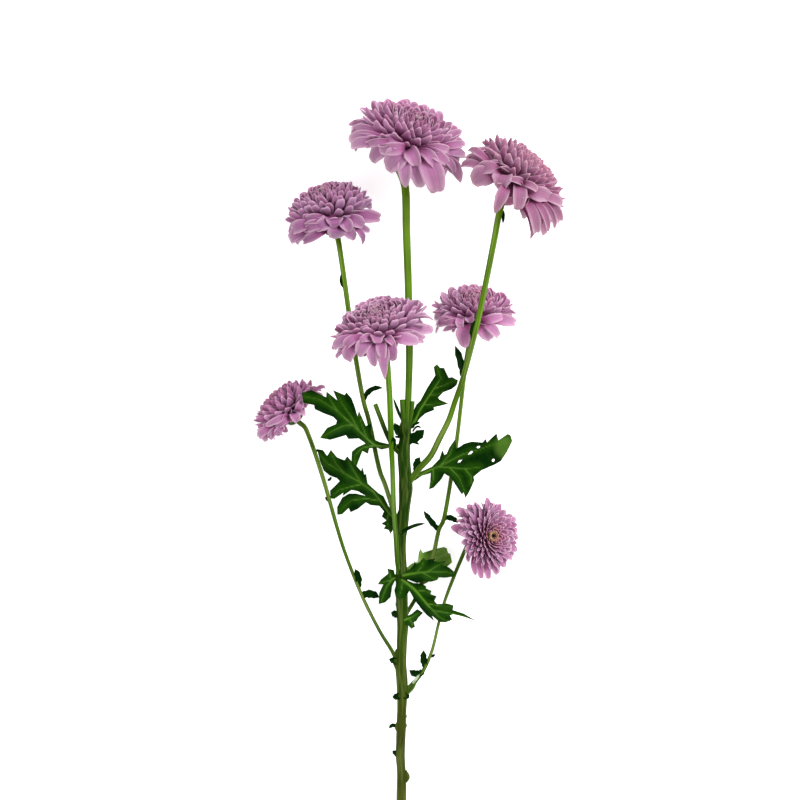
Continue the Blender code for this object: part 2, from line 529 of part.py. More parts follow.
def build():
    parts, cutters = start_scene("chrysanthemum_spray")
    mauve = material("mauve florets", (0.45, 0.21, 0.40), 0.6)
    stalk_green = material("stalk green", (0.10, 0.24, 0.02), 0.5)
    cup_green = material("cup green", (0.03, 0.12, 0.01), 0.55)
    leaf_green = material("leaf green", (0.02, 0.13, 0.01), 0.5)
    eye_green = material("eye green", (0.35, 0.38, 0.05), 0.6)

    mould = bmesh.new()
    bmesh.ops.create_cube(mould, size=1.0)
    bmesh.ops.translate(mould, verts=mould.verts, vec=(0, 0, -0.5))
    slab = bpy.data.meshes.new("floor")
    mould.to_mesh(slab)
    mould.free()
    floor = add_object("floor", slab, cutters)
    floor.hide_render = True
    floor.display_type = "WIRE"

    main_route = MAIN_STEM + stalk_end(HEADS["1"], 1.7)
    main_stem = tube("main_stem", main_route, parts, stalk_green, sides=8)
    shoots = bpy.data.collections.new("shoots")
    bpy.context.scene.collection.children.link(shoots)
    for order, route in enumerate(STUBS):
        tube(f"stub_{order}", route, shoots)
    join(main_stem, shoots)
    add_bracts(main_stem, "main")
    cut(main_stem, floor)
    clearance = tube("clearance", main_route, cutters, sides=8, swell=GAP)
    clearance.hide_render = True
    clearance.display_type = "WIRE"
    for key, route in SIDE_STEMS.items():
        top = stalk_end(HEADS[key], route[-1][3] + 0.1)
        stem = tube(f"side_stem_{key}", route + top, parts, stalk_green)
        cut(stem, clearance)
        add_bracts(stem, key)
    for key, plan in LEAVES.items():
        cut(leaf(key, plan, parts, leaf_green), clearance)
    for key, head in HEADS.items():
        florets(key, head, parts, mauve, floor)
        calyx(key, head, parts, cup_green)
        eye(key, head, parts, eye_green)


build()
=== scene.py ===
"""The looks of a cut button pompon chrysanthemum: seven flower heads, nine leaves, seven stalks.

Lengths in the tables are millimetres from the axis of the stem's cut end, as in the solids.
"""

import math
import random

import bmesh
import bpy
from mathutils import Matrix, Vector, noise


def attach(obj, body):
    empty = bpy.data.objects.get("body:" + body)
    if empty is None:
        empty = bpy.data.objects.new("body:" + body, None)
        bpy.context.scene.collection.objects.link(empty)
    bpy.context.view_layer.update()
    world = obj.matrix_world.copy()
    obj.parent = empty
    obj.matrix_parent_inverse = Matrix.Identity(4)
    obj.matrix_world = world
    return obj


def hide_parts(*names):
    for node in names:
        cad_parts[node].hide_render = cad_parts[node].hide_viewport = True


MM = 0.001
MIDDLE = Vector((5.0, 166.9, 0.0))      # the middle of the outline, on the table
GOLDEN_ANGLE = math.radians(137.50776)  # from each floret of a spiral to the next
IMAGE_WIDTH = 360.0                     # millimetres across the photograph at STEM_HEIGHT
IMAGE_PIXELS = 800
IMAGE_MIDDLE = (-0.45, 199.8)
STEM_HEIGHT = 20.0
CAMERA_HEIGHT = 4000.0

# Flower heads: the middle of the widest ring of florets, the radius there, how high the dome
# stands on it, how far the axis leans to +X and rises, how far round the lowest florets hang,
# the radius of the eye, how far below the ring the calyx sits, how many florets there are, how
# wide a floret is beside the room it has, and how much closer the young ones are packed.
# Florets past front_rows degrees are drawn from HANGING where they stand over open_from towards
# the camera; knees are how high those come out at the rim, and how much higher in the middle.
# Inward is how many degrees a floret turns up to the eye, notch the range of the tips' notches,
# swells are directions on the table, how much longer the florets are there, and how far from the
# eye. Tint and young_tint colour the open and the young florets, and lighten makes both lighter.
USUAL_HEAD = dict(eye=0.05, seat=0.27, fill=1.18, spread=1.2, front_rows=80, open_from=0.2,
                  knees=(0.22, 0.68), notch=(-0.05, 0.04), tint="#ffffff", lighten=1.0)
HEADS = {
    "1": dict(USUAL_HEAD, middle=(1.8, 312.9, 23.9), radius=27.3, dome=0.65, lean=23, rise=25,
              hang=120, count=196, inward=(11, 19), notch=(-0.04, 0.05),
              swells=[(-0.9, 0.3, 0.03, 55), (0.9, 0.5, 0.07, 58)], young_tint="#d0b6c6"),
    "2": dict(USUAL_HEAD, middle=(49.8, 294.9, 46.0), radius=25.4, dome=0.70, lean=44, rise=10,
              hang=112, seat=0.12, count=194, front_rows=96, open_from=0.3, inward=(11, 19),
              swells=[(-0.8, -0.2, 0.05, 75)], tint="#ece6e0", young_tint="#e9d0cf"),
    "3": dict(USUAL_HEAD, middle=(-30.9, 280.6, 18.9), radius=21.5, dome=0.79, lean=-18, rise=22,
              hang=111, count=172, fill=1.14, inward=(13, 23), notch=(0.08, 0.20),
              swells=[(0.8, 0.5, -0.05, 45), (-0.9, 0.0, -0.04, 85)],
              tint="#e4dae8", young_tint="#c0a2b6"),
    "4": dict(USUAL_HEAD, middle=(-7.7, 228.1, 46.5), radius=23.4, dome=0.64, lean=-19, rise=31,
              hang=117, count=190, fill=1.14, open_from=0.15, inward=(13, 23), notch=(0.12, 0.24),
              swells=[(-0.9, 0.5, 0.05, 60), (0.9, 0.2, 0.04, 75)],
              tint="#fbf6fb", young_tint="#cbaebf"),
    "5": dict(USUAL_HEAD, middle=(33.3, 236.1, 17.0), radius=19.8, dome=0.67, lean=0, rise=28,
              hang=114, count=146, front_rows=86, inward=(12, 21), notch=(-0.05, 0.05),
              swells=[(-0.9, 0.5, 0.05, 65), (0.8, 0.6, -0.03, 50)],
              lighten=1.12, young_tint="#e6cdd4"),
    "6": dict(USUAL_HEAD, middle=(-48.8, 193.0, 16.0), radius=18.4, dome=0.74, lean=-42, rise=8,
              hang=106, seat=0.17, count=156, fill=1.16, front_rows=98, open_from=0.25,
              inward=(12, 21), swells=[(0.6, 0.8, -0.05, 65)],
              tint="#f6f0f6", lighten=1.06, young_tint="#dcc0ce"),
    "7": dict(USUAL_HEAD, middle=(36.7, 138.2, 24.0), radius=17.3, dome=0.65, lean=83, rise=60,
              hang=98, eye=0.125, count=195, fill=1.10, spread=1.35, open_from=9,
              knees=(-0.1, 0.3), inward=(0, 10), notch=(-0.08, 0.03),
              swells=[(-0.85, -0.5, -0.30, 88)], lighten=1.06, young_tint="#f4b0b8"),
}

# Hanging florets that can be told apart in the photograph, on the side that faces the camera: where
# each comes out and where its tip lies, in the photograph's pixels; its width in millimetres; how
# high the tip lies, in shares of the head's radius; how far it is rolled; and its notch.
HANGING = {
    "1": [
        ((402, 148.5), (380, 150), 5.8, 0.62, 0.7, 0.0),
        ((401, 153), (385.5, 169.5), 10.0, 0.50, 0.45, 0.0),
        ((394, 141), (373, 153), 8.0, 0.30, 0.7, 0.0),
        ((386, 147), (372, 161.5), 6.4, 0.20, 0.7, 0.0),
        ((385, 142), (366, 146), 4.2, 0.35, 1.2, 0.0),
        ((372, 142), (352, 147), 5.0, 0.10, 0.9, 0.0),
        ((374, 136), (350.5, 140), 5.0, 0.05, 0.9, 0.0),
        ((374, 131), (352.5, 131), 4.8, 0.05, 1.0, 0.0),
        ((404.5, 160), (405, 186.5), 6.0, 0.50, 0.6, -0.04),
        ((410, 151), (417, 166), 7.0, 0.88, 1.0, 0.0),
        ((412, 162), (420.5, 185.5), 6.2, 0.40, 0.7, 0.0),
        ((426, 159), (437, 193), 9.6, 0.45, 0.5, 0.03),
        ((424, 152), (435.5, 166.5), 5.2, 0.75, 0.9, 0.0),
        ((429, 151), (447, 163.5), 5.0, 0.75, 0.8, 0.0),
        ((430, 148), (449, 150), 4.2, 0.70, 1.0, 0.0),
        ((442, 157), (453.5, 174.5), 3.4, 0.50, 0.9, -0.06),
        ((444, 159), (460, 182), 6.2, 0.30, 0.8, -0.08),
        ((446, 146), (464, 143.5), 3.8, 0.30, 1.1, 0.0),
        ((446, 151), (464.5, 156.5), 4.4, 0.25, 1.0, 0.0),
    ],
    "2": [
        ((481, 166.5), (462.5, 165.8), 3.8, 0.10, 0.8, 0.0),
        ((484, 157), (468.5, 151), 3.6, 0.20, 0.9, -0.06),
        ((485, 162), (468, 159.5), 4.2, 0.10, 0.9, 0.0),
        ((495, 168), (478, 172), 5.8, 0.42, 0.7, 0.0),
        ((490, 174), (473, 183.5), 9.4, 0.30, 0.5, 0.0),
        ((504, 175), (499.5, 192), 8.4, 0.72, 0.6, -0.04),
        ((505, 189), (495.5, 212), 5.4, 0.55, 0.8, -0.06),
        ((519, 187), (517.5, 209.5), 6.4, 0.75, 1.0, 0.0),
        ((521, 203), (524.5, 218), 3.8, 0.05, 0.8, 0.0),
        ((533, 192), (552, 198.5), 6.6, 0.55, 0.6, -0.03),
        ((530, 206), (536, 233), 4.6, 0.42, 0.9, 0.03),
        ((534, 208), (544, 234), 4.4, 0.20, 1.0, 0.0),
        ((530, 219), (530, 237.5), 2.4, 0.20, 0.8, -0.08),
        ((538, 204), (548, 230.5), 3.4, 0.55, 1.3, -0.04),
        ((543, 203), (554, 227), 3.4, 0.30, 1.3, -0.04),
        ((546, 196), (561, 205), 4.4, 0.30, 0.9, 0.0),
        ((546, 201), (559, 221), 4.6, 0.20, 0.9, 0.05),
        ((521, 183), (509.5, 179), 3.8, 0.98, 1.3, 0.0),
        ((525, 184), (536.5, 190.5), 3.6, 0.90, 1.3, 0.0),
    ],
    "3": [
        ((334, 219), (335.5, 230), 8.0, 0.86, 0.45, -0.10),
        ((337, 228), (334, 240), 8.0, 0.45, 0.45, 0.0),
        ((343, 221), (350, 231), 5.4, 0.75, 0.8, 0.0),
        ((345, 229), (355, 238.5), 5.4, 0.35, 0.7, 0.0),
        ((350, 219), (364, 226.5), 5.4, 0.50, 0.7, 0.0),
        ((355, 226), (368.5, 231), 3.4, 0.20, 0.9, 0.0),
        ((358, 230), (362.3, 244.5), 2.8, 0.25, 0.8, -0.08),
        ((321, 219), (304, 221), 4.8, 0.55, 1.0, 0.0),
        ((319, 224), (304, 229.5), 5.4, 0.50, 1.0, 0.03),
        ((328, 222), (315.5, 229), 5.4, 0.75, 0.7, 0.0),
        ((321, 232), (303, 241.5), 4.6, 0.35, 0.8, 0.04),
        ((306, 230), (290, 240.5), 7.0, 0.10, 0.7, 0.04),
        ((306, 224), (292, 232), 5.8, 0.30, 0.8, 0.0),
        ((303, 237), (299, 245.5), 1.8, 0.10, 0.8, -0.08),
        ((357, 216), (381, 218.5), 5.8, 0.20, 0.6, 0.05),
    ],
    "4": [
        ((383, 347), (384.7, 379), 5.6, 0.50, 0.5, -0.12),
        ((381.5, 342), (383, 357.5), 4.6, 0.85, 0.6, 0.0),
        ((389.5, 343), (392.5, 360), 5.6, 0.60, 0.6, 0.0),
        ((373, 345), (374.8, 366.5), 4.8, 0.60, 0.8, -0.03),
        ((368, 341), (358.5, 356.5), 5.8, 0.70, 0.6, 0.0),
        ((370, 337.5), (361, 340.5), 4.2, 0.92, 1.2, 0.0),
        ((378, 337), (378, 343), 6.4, 1.0, 0.8, 0.05),
        ((387, 338), (394, 344.5), 3.8, 0.95, 1.2, 0.0),
        ((398, 338), (418, 341.5), 5.2, 0.45, 0.6, 0.0),
        ((400, 334), (424, 340), 5.0, 0.25, 0.6, 0.05),
        ((408, 330), (431, 330), 5.0, 0.08, 0.8, 0.0),
        ((357, 338), (345.5, 348.5), 4.6, 0.60, 1.1, 0.0),
        ((355, 346), (348.7, 361.5), 5.8, 0.35, 0.7, 0.03),
        ((347, 349), (338, 358), 1.8, 0.10, 0.8, 0.0),
        ((350, 338), (335, 348.5), 4.4, 0.20, 0.9, 0.0),
    ],
    "5": [
        ((466, 327), (465, 346), 7.2, 0.55, 0.5, -0.02),
        ((481, 329), (491, 339.5), 5.0, 0.45, 0.7, 0.05),
        ((487, 325), (499, 337), 4.4, 0.55, 0.9, 0.04),
        ((458, 321), (446, 323.5), 3.4, 0.65, 1.0, 0.0),
        ((457, 325), (443, 331), 2.8, 0.40, 0.9, -0.08),
        ((451, 320), (437, 325.5), 4.6, 0.30, 0.8, 0.0),
        ((461, 319), (461.5, 328.5), 3.8, 0.85, 0.9, 0.0),
        ((470, 317), (472, 323), 4.4, 0.92, 0.9, 0.0),
        ((497, 319), (515.5, 323.5), 5.2, 0.20, 0.7, 0.05),
        ((486, 320), (503, 316), 4.2, 0.60, 0.9, 0.0),
    ],
    "6": [
        ((294, 414), (298, 422), 4.4, 0.80, 0.8, 0.05),
        ((287, 420), (274, 430), 2.8, 0.55, 0.9, -0.06),
        ((284, 417), (265.5, 426.5), 3.2, 0.62, 0.9, -0.04),
        ((268, 428), (260, 438), 3.8, 0.20, 0.9, 0.0),
        ((271, 430), (265, 441), 3.6, 0.10, 0.9, 0.0),
        ((276, 429), (271, 439), 3.6, 0.30, 0.9, 0.0),
        ((281, 427), (278, 436), 3.4, 0.40, 0.9, 0.0),
        ((298, 409), (303, 400), 3.6, 0.75, 1.3, 0.0),
        ((314, 391.5), (324.5, 388.5), 1.8, 0.05, 0.8, 0.0),
    ],
    "7": [
        ((466, 531), (451.5, 527), 5.0, 0.10, 0.8, -0.04),
        ((469, 518), (457, 509), 4.2, 0.15, 0.9, 0.0),
        ((473, 514), (467.5, 505), 3.6, 0.15, 0.9, 0.0),
        ((478, 514), (474.5, 502.5), 4.2, 0.25, 0.9, -0.10),
        ((487, 512), (486.8, 498), 4.2, 0.20, 0.7, -0.12),
        ((470, 552), (468.7, 561.5), 2.0, 0.30, 0.8, 0.0),
        ((474, 558), (475.7, 574.3), 2.8, 0.10, 0.8, -0.05),
        ((480, 560), (481.5, 577.5), 3.2, 0.15, 0.8, 0.0),
        ((486, 561), (488.5, 578.2), 3.2, 0.10, 0.8, 0.0),
        ((492, 559), (497, 573.8), 4.2, 0.05, 0.7, 0.0),
    ],
}

# Stalks: points along the middle, each with its radius.
MAIN_STEM = [
    (0.0, 0.0, 2.45, 2.34), (0.2, 20, 3.9, 2.16), (0.3, 27, 4.6, 2.1), (0.1, 33.4, 5.5, 1.94),
    (-0.3, 39.2, 6.2, 2.07), (-0.15, 44.9, 6.8, 2.07), (0.1, 52, 7.5, 2.16), (0.4, 60.7, 8.5, 2.1),
    (0.6, 69, 9.4, 2.46), (0.3, 75, 10.1, 2.51), (-0.1, 80, 10.6, 2.51), (0.2, 85, 11.2, 2.28),
    (0.5, 92, 12.0, 2.33), (0.8, 99, 12.8, 2.51), (0.4, 109, 13.8, 2.63), (0.3, 119, 15.0, 2.63),
    (-0.1, 131, 16.0, 2.33), (0.0, 138, 16.8, 2.4), (0.5, 142.2, 17.2, 2.63), (1.3, 149, 17.9, 2.51),
    (1.8, 154.5, 18.5, 2.7), (2.1, 159.3, 19.0, 3.06), (2.0, 163.8, 19.5, 2.91),
    (1.7, 168.3, 20.0, 2.8), (1.35, 172.8, 20.3, 2.8), (1.3, 178, 20.8, 2.8),
    (2.0, 183.5, 21.2, 2.46), (1.9, 187.5, 21.4, 2.69), (2.8, 193, 21.7, 1.54), (3.25, 200, 22.0, 1.43),
    (3.8, 222, 22.4, 1.59), (3.35, 249, 22.4, 1.65), (2.45, 276, 22.0, 1.71), (1.9, 295.5, 21.4, 1.76),
]
# Healed scars and dormant buds: short swellings that lie along the main stem.
SWELLINGS = [
    [(1.3, 26.4, 4.8, 0.6), (2.4, 29.4, 5.3, 1.6), (2.0, 32.6, 5.6, 0.5)],
    [(-1.0, 49.4, 7.4, 0.6), (-1.5, 52.2, 7.6, 1.3), (-1.0, 55.2, 7.9, 0.6)],
    [(0.9, 50.6, 7.6, 0.6), (1.6, 52.8, 7.8, 1.1), (1.0, 55.0, 8.0, 0.6)],
    [(1.0, 55.4, 8.0, 0.6), (1.7, 57.0, 8.2, 1.0), (1.1, 58.6, 8.4, 0.6)],
    [(-1.2, 76.8, 10.3, 0.6), (-2.4, 82.4, 10.8, 1.5), (-1.8, 87.4, 11.2, 0.6)],
    [(-1.2, 105.6, 13.4, 0.6), (-1.7, 107.8, 13.7, 0.8), (-1.2, 110.0, 13.9, 0.5)],
    [(0.6, 142.0, 17.2, 0.6), (-0.9, 146.2, 17.6, 1.5), (-0.6, 150.4, 17.8, 0.5)],
]
SIDE_STEMS = {
    "2": [(2.5, 161, 19.0, 1.4), (7.8, 168.5, 21.4, 1.45), (13.3, 174.6, 23.6, 1.4),
          (17.4, 182.6, 26.4, 1.35), (21.4, 190.6, 29.4, 1.3), (24.1, 198.7, 32.2, 1.25),
          (26.9, 206.7, 34.8, 1.25), (29.2, 214.7, 37.2, 1.25), (32.3, 226.7, 40.0, 1.3),
          (34.6, 236.1, 41.8, 1.3), (38.4, 254.4, 43.6, 1.35), (41.8, 271.9, 44.3, 1.4),
          (43.8, 282.7, 44.6, 1.45)],
    "3": [(0.8, 132, 15.8, 1.0), (-1.6, 142, 17.3, 1.0), (-4.1, 151.7, 17.7, 1.0),
          (-7.1, 161.6, 17.4, 1.0), (-9.9, 169.2, 17.0, 1.0), (-14.3, 189.9, 16.6, 1.05),
          (-17.0, 199.8, 16.4, 1.05), (-20.1, 216.9, 16.0, 1.1), (-23.0, 235.8, 15.9, 1.15),
          (-25.5, 253.8, 16.1, 1.2), (-27.7, 268.7, 17.2, 1.25)],
    "4": [(-0.4, 118, 14.9, 1.0), (-1.6, 126.9, 18.1, 1.15), (-2.2, 136.8, 20.6, 1.15),
          (-3.3, 152.6, 22.6, 1.1), (-3.8, 168.3, 24.8, 1.1), (-4.4, 181.8, 27.6, 1.3),
          (-5.0, 199.8, 32.2, 1.3), (-5.8, 212.4, 37.2, 1.35), (-6.3, 219.5, 41.0, 1.4)],
    "5": [(1.2, 101.5, 12.8, 0.95), (6.8, 110.7, 11.6, 0.95), (10.5, 119.7, 11.0, 0.95),
          (14.3, 128.7, 10.8, 0.95), (17.0, 140.9, 10.6, 0.95), (19.5, 146.7, 10.6, 1.0),
          (22.5, 163.8, 10.8, 0.95), (25.2, 181.8, 11.5, 0.95), (27.3, 199.8, 12.6, 0.95),
          (29.4, 217.8, 14.4, 1.0), (31.4, 227.0, 15.6, 1.15)],
    "6": [(-1.2, 80, 10.8, 1.0), (-3.9, 86.4, 10.6, 0.9), (-8.7, 94.0, 10.2, 0.8),
          (-13.5, 103.0, 10.3, 0.8), (-17.8, 112.0, 10.8, 0.8), (-21.9, 122.0, 11.5, 0.85),
          (-25.7, 132.3, 12.4, 0.85), (-28.5, 141.3, 13.3, 0.9), (-31.7, 152.6, 14.6, 0.9),
          (-34.6, 162.9, 15.6, 0.95), (-38.0, 173.7, 16.4, 1.0), (-40.9, 182.0, 16.7, 1.0),
          (-43.2, 187.4, 16.7, 1.05)],
    "7": [(1.2, 66.5, 9.2, 1.3), (4.5, 70.1, 8.8, 1.6), (6.4, 72.8, 8.6, 1.05), (10.2, 77.9, 8.2, 0.9),
          (14.1, 86.9, 8.0, 0.75), (17.1, 99.5, 8.4, 0.7), (20.0, 109.8, 9.8, 0.75),
          (24.2, 121.0, 12.4, 0.8), (27.0, 127.8, 14.6, 0.85), (29.5, 133.6, 17.0, 0.9),
          (31.6, 136.4, 18.8, 0.95)],
}

